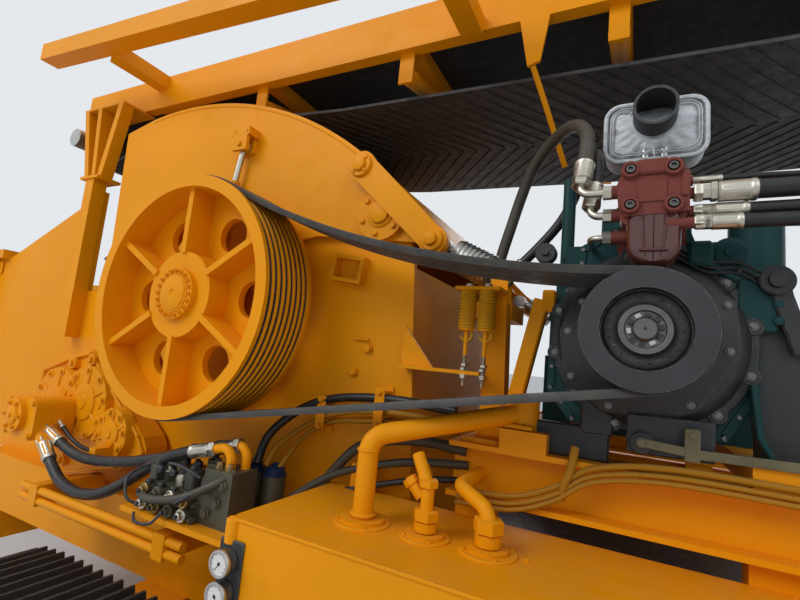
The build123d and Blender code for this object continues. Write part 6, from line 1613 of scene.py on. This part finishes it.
def make_world():
    """Bright plain background for the camera and for mirror views, softer light for everything else."""
    world = bpy.data.worlds.new("studio")
    bpy.context.scene.world = world
    world.use_nodes = True
    tree = world.node_tree
    tree.nodes.clear()
    path = tree.nodes.new("ShaderNodeLightPath")
    skies = []
    for color, strength in ((LIGHT_SKY, 0.58), (SEEN_SKY, 1.0)):
        sky = tree.nodes.new("ShaderNodeBackground")
        sky.inputs["Color"].default_value = color
        sky.inputs["Strength"].default_value = strength
        skies.append(sky.outputs[0])
    choose = tree.nodes.new("ShaderNodeMixShader")
    output = tree.nodes.new("ShaderNodeOutputWorld")
    plain_view = path.outputs["Is Camera Ray"]
    for kind in ("Is Glossy Ray", "Is Transmission Ray"):
        either = tree.nodes.new("ShaderNodeMath")
        either.operation = "MAXIMUM"
        tree.links.new(plain_view, either.inputs[0])
        tree.links.new(path.outputs[kind], either.inputs[1])
        plain_view = either.outputs[0]
    tree.links.new(plain_view, choose.inputs["Fac"])
    tree.links.new(skies[0], choose.inputs[1])
    tree.links.new(skies[1], choose.inputs[2])
    tree.links.new(choose.outputs[0], output.inputs["Surface"])


def soft_lamp(name, place, power):
    lamp = bpy.data.lights.new(name, "AREA")
    lamp.shape = "DISK"
    lamp.size = LAMP_SIZE
    lamp.energy = power
    lamp_object = bpy.data.objects.new(name, lamp)
    bpy.context.collection.objects.link(lamp_object)
    lamp_object.location = place
    lamp_object.rotation_euler = (MACHINE_MIDDLE - Vector(place)).to_track_quat("-Z", "Y").to_euler()


make_floor()
make_world()
for lamp_row in LAMPS:
    soft_lamp(*lamp_row)

# Camera: solved from the rims of both wheels in the 800 x 600 photograph
CAMERA_PLACE = (1.1727, -2.3143, 1.6688)
CAMERA_TURN = radians(27.308)
CAMERA_TILT = radians(7.340)
CAMERA_ROLL = radians(-5.423)
SENSOR_WIDTH = 36.0
FOCAL_PIXELS = 461.066
PHOTO_WIDTH = 800


def make_camera():
    reach = cos(CAMERA_TILT)
    forward = Vector((-sin(CAMERA_TURN) * reach, cos(CAMERA_TURN) * reach, sin(CAMERA_TILT)))
    level = Vector((cos(CAMERA_TURN), sin(CAMERA_TURN), 0))
    upright = level.cross(forward)
    right = cos(CAMERA_ROLL) * level - sin(CAMERA_ROLL) * upright
    up = sin(CAMERA_ROLL) * level + cos(CAMERA_ROLL) * upright
    data = bpy.data.cameras.new("camera")
    data.sensor_width = SENSOR_WIDTH
    data.lens = FOCAL_PIXELS / PHOTO_WIDTH * SENSOR_WIDTH
    data.clip_end = 200
    camera = bpy.data.objects.new("camera", data)
    bpy.context.collection.objects.link(camera)
    turn = Matrix((right, up, -forward)).transposed().to_4x4()
    camera.matrix_world = Matrix.Translation(CAMERA_PLACE) @ turn
    bpy.context.scene.camera = camera


make_camera()
bpy.context.scene.view_settings.view_transform = "Standard"
